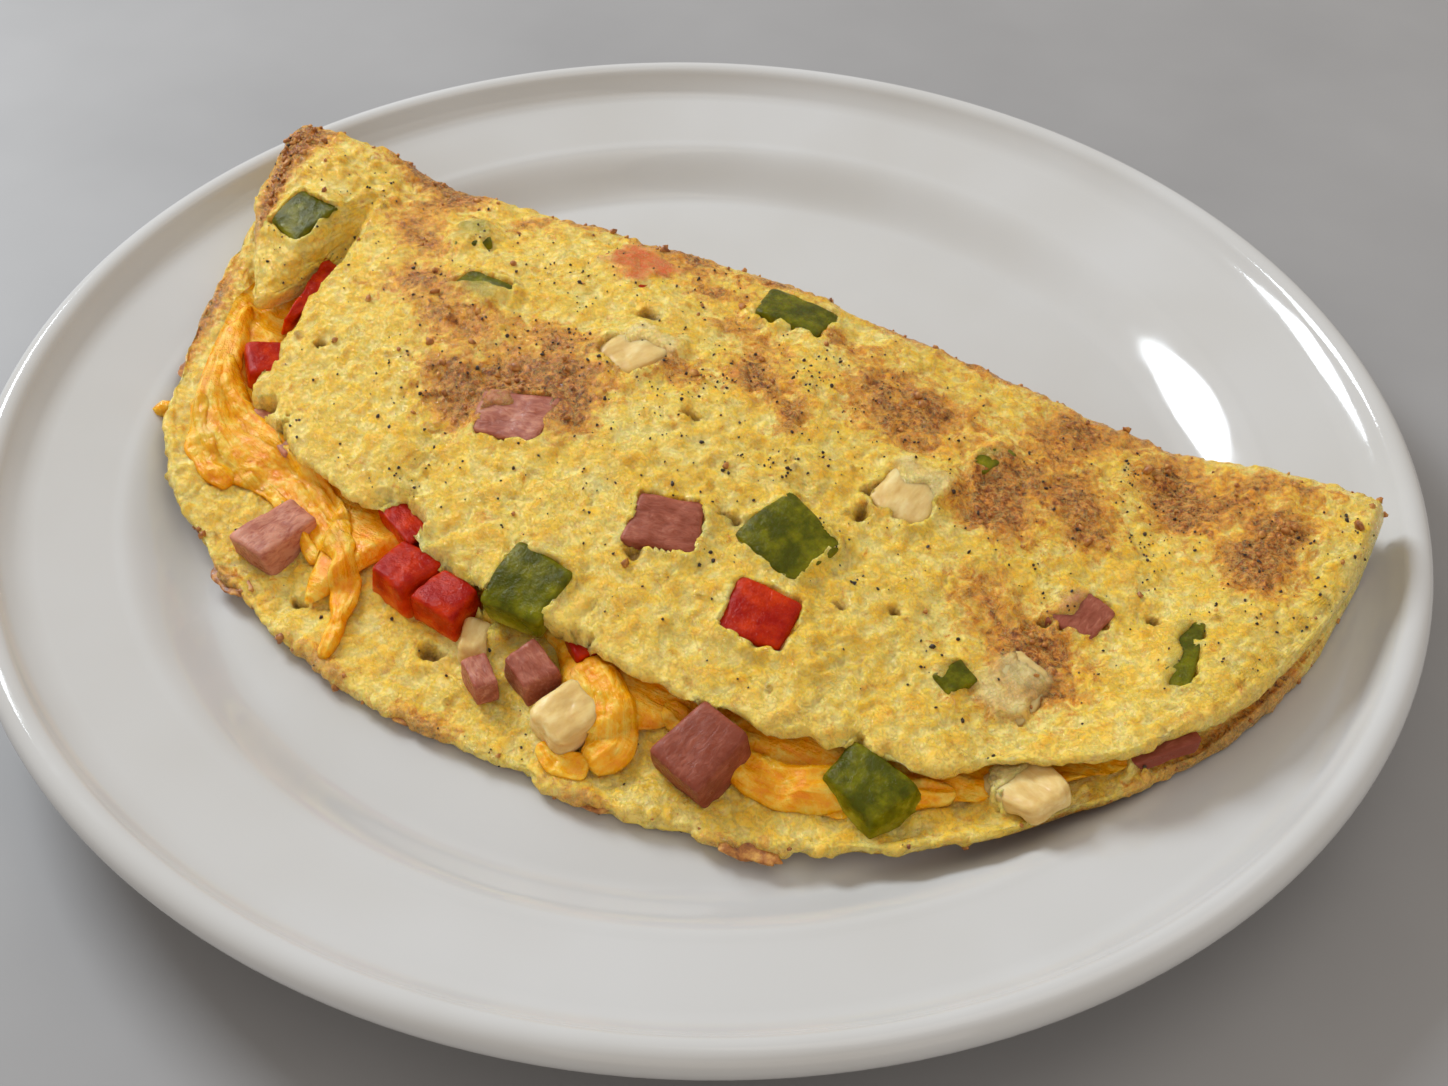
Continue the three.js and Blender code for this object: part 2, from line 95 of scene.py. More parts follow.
class Finish:
    """A new material with one Principled shader, and short ways to add nodes to it."""

    def __init__(self, name, **sockets):
        self.material = bpy.data.materials.new(name)
        self.material.use_nodes = True
        self.tree = self.material.node_tree
        self.shader = self.tree.nodes["Principled BSDF"]
        for socket, value in sockets.items():
            self.shader.inputs[socket.replace("_", " ")].default_value = value
        self.place = self.add("ShaderNodeTexCoord").outputs["Object"]

    def add(self, kind, **settings):
        """A node of a kind, with its settings."""
        node = self.tree.nodes.new(kind)
        for key, value in settings.items():
            setattr(node, key, value)
        return node

    def feed(self, socket, value):
        """A socket takes a number, a display colour, or what another node gives."""
        if isinstance(value, (int, float)):
            socket.default_value = value
        elif isinstance(value, tuple):
            socket.default_value = linear(*value)
        else:
            self.tree.links.new(value, socket)

    def fed(self, kind, output, inputs, **settings):
        """A node with its sockets fed, by name or number, and one of its outputs."""
        node = self.add(kind, **settings)
        for key, value in inputs.items():
            self.feed(node.inputs[key], value)
        return node.outputs[output]

    def set(self, socket, value):
        """Feeds a socket of the shader."""
        self.feed(self.shader.inputs[socket], value)

    def read(self, name, output="Fac"):
        """A value stored on the mesh."""
        return self.fed("ShaderNodeAttribute", output, {}, attribute_name=name)

    def scaled(self, place, scale):
        """Coordinates that stretch a pattern along the axes with a scale below 1."""
        node = self.add("ShaderNodeMapping")
        node.inputs["Scale"].default_value = scale
        self.feed(node.inputs["Vector"], place)
        return node.outputs["Vector"]

    def noise(self, size_mm, detail=3, rough=0.55, warp=0.0, place=None):
        """Soft noise: detail counts the finer layers, rough is how strong they are, warp bends them."""
        inputs = {"Scale": 1 / (size_mm * MM), "Detail": detail, "Roughness": rough, "Distortion": warp}
        return self.fed("ShaderNodeTexNoise", "Fac", {**inputs, "Vector": place or self.place})

    def cells(self, size_mm):
        """Distance to the middle of the nearest rounded cell."""
        inputs = {"Scale": 1 / (size_mm * MM), "Vector": self.place}
        return self.fed("ShaderNodeTexVoronoi", "Distance", inputs, feature="SMOOTH_F1")

    def ramp(self, value, *stops):
        """Colours along a value. Each stop is a place from 0 to 1 and a display colour."""
        node = self.add("ShaderNodeValToRGB")
        bar = node.color_ramp.elements
        while len(bar) < len(stops):
            bar.new(0.5)
        for element, (where, colour) in zip(bar, stops):
            element.position = where
            element.color = linear(*colour)
        self.feed(node.inputs["Fac"], value)
        return node.outputs["Color"]

    def between(self, value, low, high, to_low=0.0, to_high=1.0):
        """Moves a value from one range to another, smoothly and held at both ends."""
        inputs = {"Value": value, "From Min": low, "From Max": high, "To Min": to_low, "To Max": to_high}
        return self.fed("ShaderNodeMapRange", "Result", inputs, interpolation_type="SMOOTHSTEP")

    def calc(self, kind, *values):
        """A sum on values: ADD, SUBTRACT, MULTIPLY or ABSOLUTE."""
        return self.fed("ShaderNodeMath", 0, dict(enumerate(values)), operation=kind)

    def swing(self, value, most):
        """A noise about 0.5 made a swing about 0."""
        return self.calc("MULTIPLY", self.calc("SUBTRACT", value, 0.5), most)

    def both(self, first, second, share):
        """Two values added up, the first by its share and the second by the rest."""
        return self.calc("ADD", self.calc("MULTIPLY", first, share), self.calc("MULTIPLY", second, 1 - share))

    def mix(self, share, first, second):
        """From the first colour to the second by a share."""
        return self.fed("ShaderNodeMix", 2, {0: share, 6: first, 7: second}, data_type="RGBA")

    def bump(self, height, depth_mm, strength, below=None):
        """Tilts the shading as a relief of that depth would, on top of the bump below."""
        inputs = {"Distance": depth_mm * MM, "Strength": strength, "Height": height}
        return self.fed("ShaderNodeBump", "Normal", {**inputs, "Normal": below} if below else inputs)

    def gloss(self, size_mm, least, most, low=0.3, high=0.7):
        """Roughness that wanders between two values as a noise goes from low to high."""
        self.set("Roughness", self.between(self.noise(size_mm, detail=2), low, high, least, most))


print("helpers ready")

# %% [markdown]
# ## Surfaces from numpy
# Every new piece is a grid of points worked out as whole arrays, then handed to a mesh. Food is
# never smooth, so the shapes are roughened with two patterns: a soft noise, which blends random
# values on a lattice, and pebbles, the distance to the nearest of many scattered points. Both come
# from a repeatable mixing of whole numbers, so the omelette comes out the same every time.

# %% Noise in space
def lattice_value(cell, seed):
    """A repeatable value of 0 to 1 for each cell: its whole numbers times odd constants, then mixed."""
    with np.errstate(over="ignore"):
        x, y, z = (cell[..., k].astype(np.uint32) for k in range(3))
        h = x * np.uint32(374761393) + y * np.uint32(668265263) + z * np.uint32(2246822519)
        h = h + np.uint32(seed) * np.uint32(3266489917)
        h = (h ^ (h >> np.uint32(15))) * np.uint32(2246822519)
        h = (h ^ (h >> np.uint32(13))) * np.uint32(3266489917)
        h = h ^ (h >> np.uint32(16))
    return h / 4294967295.0


def soft_noise(points, size, seed=0):
    """From -1 to 1: the eight lattice values round a point, blended by a smooth step on each axis."""
    q = points / size
    cell = np.floor(q).astype(np.int64)
    f = q - cell
    f = f * f * (3 - 2 * f)
    total = np.zeros(points.shape[:-1])
    for corner in range(8):
        step = np.array([corner & 1, corner >> 1 & 1, corner >> 2])
        weight = np.prod(np.where(step == 1, f, 1 - f), axis=-1)
        total += weight * lattice_value(cell + step, seed)
    return total * 2 - 1


def layered_noise(points, size, seed=0, layers=3):
    """Soft noise plus half as much at half the size, and so on."""
    return sum(soft_noise(points, size / 2 ** k, seed + k) / 2 ** k for k in range(layers))


def pebbles(points, size, seed=0):
    """Distance to the nearest scattered point, in cells, and that point's own value of 0 to 1."""
    q = points / size
    cell = np.floor(q).astype(np.int64)
    nearest = np.full(points.shape[:-1], 9.0)
    value = np.zeros(points.shape[:-1])
    for n in range(27):
        near = cell + np.array([n % 3 - 1, n // 3 % 3 - 1, n // 9 - 1])
        spot = near + np.stack([lattice_value(near, seed + k) for k in (1, 2, 3)], -1)
        distance = np.linalg.norm(q - spot, axis=-1)
        closer = distance < nearest
        nearest = np.where(closer, distance, nearest)
        value = np.where(closer, lattice_value(near, seed + 4), value)
    return nearest, value


def ramp(start, end, value):
    """Rises smoothly from 0 at start to 1 at end."""
    t = np.clip((value - start) / (end - start), 0, 1)
    return t * t * (3 - 2 * t)


def mix(first, second, share):
    """A value on the way from the first to the second."""
    return first + (second - first) * share


def in_space(x, y, z):
    """Three coordinates, whatever their shapes, as one array of points."""
    return np.stack(np.broadcast_arrays(x, y, z), -1)


def swayed(points, reach, size, seed):
    """Points moved by three noises, one along each axis."""
    return points + reach * np.stack([soft_noise(points, size, seed + k) for k in range(3)], -1)


print("noise at one place:", soft_noise(np.full((1, 3), 0.3), 1.0))

# %% [markdown]
# A grid becomes a mesh by joining each point to its neighbours. A section that closes on itself
# wraps round, and a fan to one point closes each end.

# %% Mesh helpers
def grid_faces(rows, columns, wrap):
    """Quads between neighbouring points of a grid that is stored row by row."""
    r, c = np.meshgrid(np.arange(rows - 1), np.arange(columns if wrap else columns - 1), indexing="ij")
    d = (c + 1) % columns
    quads = [r * columns + c, (r + 1) * columns + c, (r + 1) * columns + d, r * columns + d]
    return np.stack(quads, -1).reshape(-1, 4)


ATTRIBUTES = {1: ("FLOAT", "value"), 3: ("FLOAT_VECTOR", "vector"), 4: ("FLOAT_COLOR", "color")}


def make_piece(name, points_mm, faces, material, slot, replaces=(), values=None, smooth=True):
    """A mesh in the part's frame, riding on the root. Values are stored on its points."""
    mesh = bpy.data.meshes.new(name)
    mesh.from_pydata((np.asarray(points_mm) * MM).tolist(), [], [list(f) for f in faces])
    for key, array in (values or {}).items():
        array = np.asarray(array, np.float32)
        kind, field = ATTRIBUTES[array.size // len(array)]
        mesh.attributes.new(key, kind, "POINT").data.foreach_set(field, array.ravel())
    mesh.polygons.foreach_set("use_smooth", np.full(len(mesh.polygons), smooth))
    mesh.materials.append(material)
    mesh.validate()
    piece = bpy.data.objects.new(name, mesh)
    bpy.context.scene.collection.objects.link(piece)
    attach(piece, "root")
    if replaces:
        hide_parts(*replaces)
    return piece


def close_ring(grid, ends=None):
    """Points and faces of rings swept along the rows, with a fan to a point, or the mean, at each end."""
    rows, columns = grid.shape[:2]
    points = np.concatenate([grid.reshape(-1, 3), ends or [grid[0].mean(0), grid[-1].mean(0)]])
    around = np.arange(columns)
    after = (around + 1) % columns
    last = (rows - 1) * columns
    first = np.stack([0 * around + rows * columns, around, after], -1)
    final = np.stack([0 * around + rows * columns + 1, last + after, last + around], -1)
    return points, [*grid_faces(rows, columns, True).tolist(), *first.tolist(), *final.tolist()]


def with_ends(array):
    """Values of a grid, with the mean of each end row added for its closing point."""
    flat = array.reshape(-1, *array.shape[2:])
    return np.concatenate([flat, array[:1].mean(1), array[-1:].mean(1)])


def ring_normals(grid):
    """The cross product of the two directions along a grid of closed rings, made one long."""
    along = (np.roll(grid, -1, axis=1) - np.roll(grid, 1, axis=1)) / 2
    normal = np.cross(along, np.gradient(grid, axis=0))
    return normal / np.maximum(np.linalg.norm(normal, axis=-1, keepdims=True), 1e-9)


print("mesh helpers ready")

# %% [markdown]
# ## The plate
# The plate is glazed porcelain: a flat floor, a low wall, a wide gently rising rim and a rolled lip.
# It could be a subdivided cylinder, but a plate is turned on a wheel, so its outline carried round
# the axis is the natural way. The outline is the part's own, with many more points.

# %% Plate shape
PLATE_RADIUS, LIP_ROLL, LIP_HEIGHT = 121.0, 2.7, 18.3
WELL_RADIUS, RIM_RADIUS = 85.5, 99.0
FLOOR_HEIGHT, RIM_HEIGHT, RIM_SLOPE = 6.5, 13.4, 0.2375
FOOT_OUTER, FOOT_INNER, FOOT_RECESS = 68.0, 60.0, 2.0
PLATE_WALL, RIM_WALL = 4.2, 3.4
PLATE_SIDES = 192


def plate_top(radius):
    """Floor height, plus a smooth step up the wall, plus the rim's steady slope."""
    wall = (RIM_HEIGHT - FLOOR_HEIGHT) * ramp(WELL_RADIUS, RIM_RADIUS, radius)
    return FLOOR_HEIGHT + wall + RIM_SLOPE * np.maximum(radius - RIM_RADIUS, 0)


def plate_outline():
    """From the middle of the floor over the lip to the middle underneath, as radius and height."""
    rim_end = PLATE_RADIUS - 2.6 * LIP_ROLL
    floor = np.linspace(0.0, 80.0, 9)
    wall = np.linspace(WELL_RADIUS - 3, RIM_RADIUS + 3, 26)
    top = np.concatenate([floor, wall, np.linspace(RIM_RADIUS + 5, rim_end, 4)])
    upper = np.stack([top, plate_top(top)], -1)
    turn = np.radians(np.linspace(150, -110, 18))
    centre = PLATE_RADIUS - LIP_ROLL
    roll = np.stack([centre + LIP_ROLL * np.cos(turn), LIP_HEIGHT + LIP_ROLL * np.sin(turn)], -1)
    under = np.linspace(RIM_RADIUS, WELL_RADIUS, 8)
    below = np.stack([under + 1, plate_top(under) - PLATE_WALL], -1)
    rim_under = [[rim_end, plate_top(rim_end) - RIM_WALL]]
    foot = [[FOOT_OUTER + 2, FLOOR_HEIGHT - PLATE_WALL], [FOOT_OUTER, 0.4], [FOOT_OUTER - 1, 0],
            [FOOT_INNER + 1, 0], [FOOT_INNER, 0.4], [FOOT_INNER - 2, FOOT_RECESS], [0, FOOT_RECESS]]
    return np.concatenate([upper, roll, rim_under, below, foot])


def turned(outline, sides):
    """Each outline point at every angle: x = r cos, y = r sin, z = height. Both ends are one point."""
    angle = 2 * np.pi * np.arange(sides) / sides
    radius, height = outline[1:-1, :1], outline[1:-1, 1:]
    ends = [[0, 0, outline[0, 1]], [0, 0, outline[-1, 1]]]
    return close_ring(in_space(radius * np.cos(angle), radius * np.sin(angle), height), ends)


plate_points, plate_faces = turned(plate_outline(), PLATE_SIDES)
print("plate:", len(plate_faces), "faces")

# %% [markdown]
# The glaze is white, hard and nearly mirror smooth. A plain white would look like plastic, so a very
# faint cloudiness runs through the colour and a still fainter one through the gloss and the surface,
# as on real glaze that settled in the kiln.

# %% Glaze
glaze = Finish("glaze", IOR=1.5)
cloud = glaze.noise(38, detail=2)
glaze.set("Base Color", glaze.ramp(cloud, (0.3, (195, 194, 192)), (0.7, (201, 201, 201))))
glaze.gloss(9, 0.07, 0.13)
glaze.set("Normal", glaze.bump(glaze.noise(14, detail=1), 0.12, 0.25))
plate = make_piece("plate_glazed", plate_points, plate_faces, glaze.material, "plate", ["plate"])
print("plate piece:", plate.name, [round(v, 3) for v in plate.dimensions], "m")

# %% [markdown]
# ## Where the dice are
# The dice were placed in the part, so the frame already knows them. Each one's own axes are found
# from its points: the directions in which they spread most, middling and least. Everything that
# touches a die, from its detailed shape to the egg round it, is then worked out in those axes. A few
# dice sank or slid as the egg set, so they are moved by up to three millimetres and made thinner.

# %% Dice frames
def own_frame(node):
    """Centre, axes as rows and half sizes of a block, from the spread of its distinct points."""
    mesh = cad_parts[node].data
    co = np.zeros(len(mesh.vertices) * 3)
    mesh.vertices.foreach_get("co", co)
    points = np.unique(np.round(co.reshape(-1, 3) / MM, 4), axis=0)
    centre = points.mean(0)
    _, axes = np.linalg.eigh(np.cov((points - centre).T))
    up = axes[:, np.argmax(np.abs(axes[2]))]
    up = up * np.sign(up[2])
    flat = [axes[:, k] for k in range(3) if abs(axes[:, k] @ up) < 0.5]
    reach = [np.ptp(points @ a) for a in flat]
    long = flat[int(np.argmax(reach))]
    long = long * (1 if long[0] >= 0 else -1)
    side = np.cross(up, long)
    turn = np.stack([long, side, up])
    local = (points - centre) @ turn.T
    half = (local.max(0) - local.min(0)) / 2
    return (local.max(0) + local.min(0)) / 2 @ turn + centre, turn, half


KINDS = ("ham", "green", "red", "onion")
DICE = {name: own_frame(name) for name in sorted(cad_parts) if name.split("_")[0] in KINDS}
SETTLED = {  # how far a die sank or slid as the egg set, in mm, and the share of its thickness left
    "onion_6": (-0.8, 1.4, -2.1, 0.7), "ham_10": (-2.2, 2.4, -1.3, 0.6), "onion_3": (0, 0, -0.7, 1.0),
    "onion_4": (0, 0, -0.6, 0.9), "onion_1": (0, 0, -0.3, 1.0), "onion_2": (0, 0, -0.3, 1.0),
    "ham_3": (0, 0, -0.4, 1.0), "green_pepper_5": (0, 0, -0.4, 1.0),
}
for name, (*shift, share) in SETTLED.items():
    centre, turn, half = DICE[name]
    DICE[name] = (centre + shift, turn, half * [1, 1, share])
print("dice:", len(DICE), "half size of ham_1:", np.round(DICE["ham_1"][2], 2).tolist(), "mm")

# %% [markdown]
# ## The egg
# The egg is one thin sheet folded over. Its section is a flat C: along the plate, round the fold,
# over the filling to a free lip, and back inside. The same formulas as in the part give that C at
# stations along the fold, here every half millimetre, and then the surface is worked over: large
# lumps, curds, pits, and a hollow with a raised rim for each die.

# %% Egg formulas
HALF_LENGTH, DEPTH = 108.4, 109.5
OUTLINE_POWER = (1.85, 2.28)
FOLD_Y, FOLD_BOW, FOLD_REACH = 36.0, 4.0, 8.0
TIP_RISE, FOLD_RISE, FALL_POWER = (12.5, 11.5), 21.0, (3.0, 1.3)
LIP_RISE, CROWN, CROWN_POWER = (9.0, 13.0), 6.0, 1.3
SHEET, SHEET_EDGE, TIP_ROUND, REST_GAP = 5.5, 3.0, 2.5, 0.5
DRAPE_RADIUS, FLAP_SET_BACK, FLAP_SHARE_RIGHT, FLAP_LEAST = 77.0, 22.0, 0.07, 0.45
REACH_SHARE, SHEET_SHARE, EDGE_SHARE = 0.4, 0.33, 0.28
LIP_HUMPS = [(27, -80.5, 3.5), (5, -31, 4.5), (4.5, 56, 20), (3.2, 74, 8)]


def humps(bells, along):
    """A sum of bell shapes, each of a height, a place along the fold and a width."""
    return sum(height * np.exp(-((along - place) / width) ** 2) for height, place, width in bells)


WANDER_LINE = (5.5, 3.3)       # where in the noise a wavering line runs


def wander(along, size, seed):
    """A line's own wavering: soft noise along one axis."""
    return soft_noise(in_space(along, *WANDER_LINE), size, seed)


def rest_height(along, out):
    """Underside of the egg: the floor, a smooth step over the wall, and the rim's slope."""
    radius = np.hypot(along, FOLD_Y - out)
    wall = (RIM_HEIGHT - FLOOR_HEIGHT) * ramp(DRAPE_RADIUS, RIM_RADIUS, radius)
    return FLOOR_HEIGHT + REST_GAP + wall + RIM_SLOPE * np.maximum(radius - RIM_RADIUS, 0)


def back_edge(along):
    """How far forward the fold lies: nothing in the middle, and a square law towards the tips."""
    return FOLD_BOW * (along / HALF_LENGTH) ** 2


def front_edge(along):
    """Half a rounded oval: depth times (1 - share^power)^(1/power), wavering by up to a millimetre."""
    share = np.clip(np.abs(along) / HALF_LENGTH, 0, 1)
    power = mix(*OUTLINE_POWER, ramp(-HALF_LENGTH, -75, along))
    waver = (1.0 * wander(along, 9, 11) + 0.75 * wander(along, 3.2, 12)) * ramp(1, 0.93, share)
    return back_edge(along) + DEPTH * (1 - share ** power) ** (1 / power) + waver


def plain_lip(along):
    """The front edge less a set-back that nearly vanishes towards the right."""
    right = mix(1, FLAP_SHARE_RIGHT, ramp(-20, HALF_LENGTH, along))
    return front_edge(along) - FLAP_SET_BACK * right * ramp(-HALF_LENGTH - 2, -90, along)


def lip_edge(along):
    """The plain lip less the slits and bays, with a small frill."""
    least = mix(back_edge(along), front_edge(along), FLAP_LEAST)
    frill = 0.5 * wander(along, 5, 13) + 0.35 * wander(along, 2.1, 14)
    inner = ramp(HALF_LENGTH, HALF_LENGTH - 12, np.abs(along))
    bays = plain_lip(along) - humps(LIP_HUMPS, along) + frill * inner
    return np.maximum(bays, least * ramp(HALF_LENGTH, 0, np.abs(along)))


print("lip at the middle:", round(float(lip_edge(np.array(0.0))), 2), "mm in front of the fold")

# %% [markdown]
# The outline says where the egg ends in plan, and the next formulas say how high it stands. All of
# them shrink almost to nothing at the tips, so only a sliver is left there for a fan to close.

# %% Egg heights
def tip_close(along):
    """1 along the omelette, rounding down to 0 at the tips as a quarter circle."""
    left = np.clip((HALF_LENGTH - np.abs(along)) / TIP_ROUND, 0, 1)
    return np.sqrt(1 - (1 - left) ** 2)


def fullness(along):
    """1 in the middle less a power of the share of the length, another power on each side."""
    share = np.clip(np.abs(along) / HALF_LENGTH, 0, 1)
    return 1 - share ** mix(*FALL_POWER, ramp(-10, 10, along))


def fold_rise(along):
    """Height of the fold, from the low tips to the full middle."""
    return mix(mix(*TIP_RISE, ramp(-10, 10, along)), FOLD_RISE, fullness(along)) * tip_close(along)


def fold_reach(along):
    """How far back the fold bulges, less where the flap is narrow."""
    return np.minimum(FOLD_REACH, REACH_SHARE * (lip_edge(along) - back_edge(along)))


def flap_rise(along, out):
    """From the fold down to the lip by a smooth step, plus a swelling that is a power of a sine."""
    start = back_edge(along) + fold_reach(along)
    share = np.clip((out - start) / (lip_edge(along) - start), 0, 1)
    close = tip_close(along)
    lip = mix(*LIP_RISE, fullness(along)) * close
    swell = CROWN * fullness(along) * close * np.sin(np.pi * share) ** CROWN_POWER
    return mix(fold_rise(along), lip, ramp(0, 1, share)) + swell


def thickness(along, share):
    """The sheet's thickness, thinning to its edge, and never too much for a low fold."""
    sheet = np.minimum(SHEET, SHEET_SHARE * fold_rise(along))
    edge = np.minimum(SHEET_EDGE, EDGE_SHARE * fold_rise(along))
    return mix(sheet, edge, ramp(0.8, 1, share))


print("flap height at the middle:", round(float(flap_rise(np.array(0.0), np.array(40.0))), 2), "mm")

# %% [markdown]
# The C is put together from nine stretches, from the underside round the fold to the front. Each is a
# row of shares from 0 to 1, and the stretches that show get nearly all of the points: the flap's top
# and the front strip of the lower layer. A simple loft would spread them evenly and waste most.

# %% Egg grid
STATIONS = 470
STRETCHES = [("under", 8), ("fold", 22), ("over", 160), ("lip", 8), ("inner", 9), ("inner_fold", 5),
             ("bed_hidden", 6), ("bed", 104), ("front", 12)]     # names and numbers of points
BED_SHOWN = 0.45                      # the share of the lower layer that stays under the flap


def egg_grid():
    """Points of the closed C at every station, and the name of the stretch each column is in.

    A stretch is a straight run, or half a turn: out by the cosine and up by the sine of its angle.
    """
    u = np.linspace(-1, 1, STATIONS + 2)[1:-1]
    along = (HALF_LENGTH * mix(np.sin(np.pi / 2 * u), u, 0.75))[:, None]
    start = back_edge(along) + fold_reach(along)
    reach = fold_reach(along)
    front = front_edge(along)
    lip = lip_edge(along)
    rise = fold_rise(along)
    sheet = thickness(along, 0)
    edge = thickness(along, 1)
    columns = []
    names = []

    def stretch(name, out, height):
        columns.append(in_space(along, out, rest_height(along, out) + height))
        names.extend([name] * columns[-1].shape[1])

    counts = dict(STRETCHES)
    s = np.arange(counts["under"])[None] / counts["under"]
    stretch("under", mix(front - edge / 2, start, s), 0 * s)
    t = np.pi * np.linspace(0, 1, counts["fold"])[None]
    stretch("fold", start - reach * np.sin(t), rise / 2 * (1 - np.cos(t)))
    s = np.linspace(0, 1, counts["over"] + 1)[None, 1:]
    out = mix(start, lip - edge / 2, s)
    stretch("over", out, flap_rise(along, out))
    t = np.radians(np.linspace(80, -90, counts["lip"]))[None]
    top = flap_rise(along, lip - edge / 2)
    stretch("lip", lip - edge / 2 + edge / 2 * np.cos(t), top - edge / 2 + edge / 2 * np.sin(t))
    s = np.linspace(1, 0, counts["inner"] + 1)[None, 1:]
    out = mix(start, lip - edge / 2, s)
    stretch("inner", out, flap_rise(along, out) - thickness(along, s))
    t = np.pi * np.linspace(1, 0, counts["inner_fold"])[None]
    narrow = np.maximum(reach - sheet, 0.3 * reach)
    stretch("inner_fold", start - narrow * np.sin(t), sheet + (rise / 2 - sheet) * (1 - np.cos(t)))
    s = np.linspace(0, BED_SHOWN, counts["bed_hidden"] + 1)[None, 1:]
    stretch("bed_hidden", mix(start, front - edge / 2, s), thickness(along, s))
    s = mix(BED_SHOWN, 1, np.linspace(0, 1, counts["bed"] + 1)[None, 1:])
    stretch("bed", mix(start, front - edge / 2, s), thickness(along, s))
    t = np.radians(np.linspace(75, -75, counts["front"]))[None]
    stretch("front", front - edge / 2 + edge / 2 * np.cos(t), edge / 2 + edge / 2 * np.sin(t))
    grid = np.concatenate(columns, axis=1)
    grid[..., 1] = FOLD_Y - grid[..., 1]
    return grid[:, ::-1], np.array(names)[::-1]


egg, egg_parts = egg_grid()
FLAP = np.isin(egg_parts, ("fold", "over", "lip", "inner", "inner_fold"))
print("egg grid:", egg.shape, "of which the flap:", int(FLAP.sum()), "columns")

# %% [markdown]
# Egg that set slowly over low heat is a skin of small curds: rounded pebbles a few millimetres wide
# with creases between them, fine wandering ridges, gentler lumps below, and a pit here and there where
# steam came out. The patterns are read in space, so they don't stretch where the sheet curves. A
# stretch that nobody sees is left smooth.

# %% Curds, lumps and pits
CURD, FINE_CURD, RIDGE, PIT = 3.4, 1.9, 2.3, 5.0      # spacings in mm
PITTED = 0.8                                         # only cells with a value above this have a pit
SHOWN = {"over": 1.0, "fold": 0.9, "lip": 0.8, "bed": 0.95, "front": 0.9, "bed_hidden": 0.3}


def stretch_value(names, values):
    """A number for each column of a grid, by the stretch that it is in."""
    return np.array([values.get(name, 0.0) for name in names])[None, :]


def curdled(grid, names):
    """Moves points along their normals by lumps + curds + ridges - pits. Also gives crease, which paints
    shade into the creases and a highlight onto the ridges, and pit.
    """
    shown = stretch_value(names, SHOWN) * ramp(HALF_LENGTH, HALF_LENGTH - 5, np.abs(grid[..., 0]))
    warped = swayed(grid, 1.3, 2.7, 21)
    curd, _ = pebbles(warped, CURD, 31)
    fine_curd, _ = pebbles(warped, FINE_CURD, 41)
    ridge = 1 - 2 * np.abs(layered_noise(warped, RIDGE, 45, 2))
    pit, value = pebbles(swayed(grid, 2.0, 3.4, 24), PIT, 51)
    pits = ramp(0.1 + 0.14 * value, 0.03, pit) * (value > PITTED)
    lumps = 0.85 * layered_noise(grid, 16, 61, 2) + 0.6 * layered_noise(grid, 5.5, 64, 2)
    relief = lumps + 0.62 * (0.55 - curd) + 0.5 * (0.5 - fine_curd) + 0.3 * ridge - 0.8 * pits
    # crease is high between the curds and low on their ridges; the finish turns it into painted shade and
    # painted highlight.
    crease = 0.45 * ramp(0.3, 0.8, curd) + 0.55 * ramp(0.3, 0.75, fine_curd) - 0.3 * ridge
    moved = grid + ring_normals(grid) * (shown * relief)[..., None]
    return moved, np.clip(crease, 0, 1) * shown, pits * shown


print("columns in each stretch:", dict(zip(*np.unique(egg_parts, return_counts=True))))

# %% [markdown]
# Egg closes round each die as it sets. A boolean cut would leave a clean slot, which egg never has, so
# the surface itself is moved: beside a die it comes up level with the face and laps over its edge here
# and there, and inside the outline it drops below the face. Some dice were caught under a thin skin of
# egg instead: there the sheet passes just over the face, and the die's colour shows through.

# %% Hollows for the dice
FILMED = {  # share of the face under egg, and the direction in degrees in which the cover grows
    "ham_2": (0.25, 150), "ham_3": (0.4, 60), "onion_1": (0.5, 20), "onion_2": (0.5, 0),
    "onion_3": (0.85, 90), "onion_6": (0.5, 200), "red_pepper_2": (1.0, 0), "green_pepper_3": (0.5, -60),
    "green_pepper_10": (1.0, 0), "green_pepper_7": (0.75, 0), "green_pepper_6": (0.4, 120),
    "green_pepper_5": (0.5, -90), "green_pepper_8": (0.16, 0), "green_pepper_4": (0.1, 180),
    "green_pepper_1": (0.05, -90), "ham_10": (0.25, 90),
}
SHOWS_THROUGH = {  # how strongly each food's colour comes through the film, and the colour
    "ham": (0.9, linear(186, 120, 88)), "green": (0.8, linear(150, 142, 50)),
    "red": (1.1, linear(216, 84, 24)), "onion": (1.0, linear(236, 216, 148)),
}
YOLKY = [  # yellow spots: x, y, reach along, reach across, turn
    (-54, -27, 2.0, 1.1, -40), (-47, -31, 2.2, 0.8, -15), (-60, -22, 1.6, 0.9, 0), (-33, -32, 1.8, 0.8, 10),
    (-66, -6, 1.5, 0.9, 0), (30, -34, 1.5, 0.8, 0), (8, -26, 1.6, 1.0, 30), (47, -24, 1.4, 0.8, 0),
]
YOLK_COLOUR = linear(252, 196, 16)
UNDER_LIP = {"onion_6", "ham_10"}      # these lie below the flap's lip, so they press the lower layer only


def ellipse(points, spot):
    """1 at the middle of an ellipse in plan, falling off as a bell."""
    x, y, along, across, degrees = spot[:5]
    c, s = math.cos(math.radians(degrees)), math.sin(math.radians(degrees))
    dx, dy = points[..., 0] - x, points[..., 1] - y
    return np.exp(-(((dx * c + dy * s) / along) ** 2 + ((dy * c - dx * s) / across) ** 2))


def outline_distance(local, half, rounding=1.4):
    """How far a point is outside a rounded rectangle, less than 0 inside it."""
    over = np.abs(local[..., :2]) - (half[:2] - rounding)
    outside = np.linalg.norm(np.maximum(over, 0), axis=-1)
    return outside + np.minimum(np.max(over, axis=-1), 0) - rounding


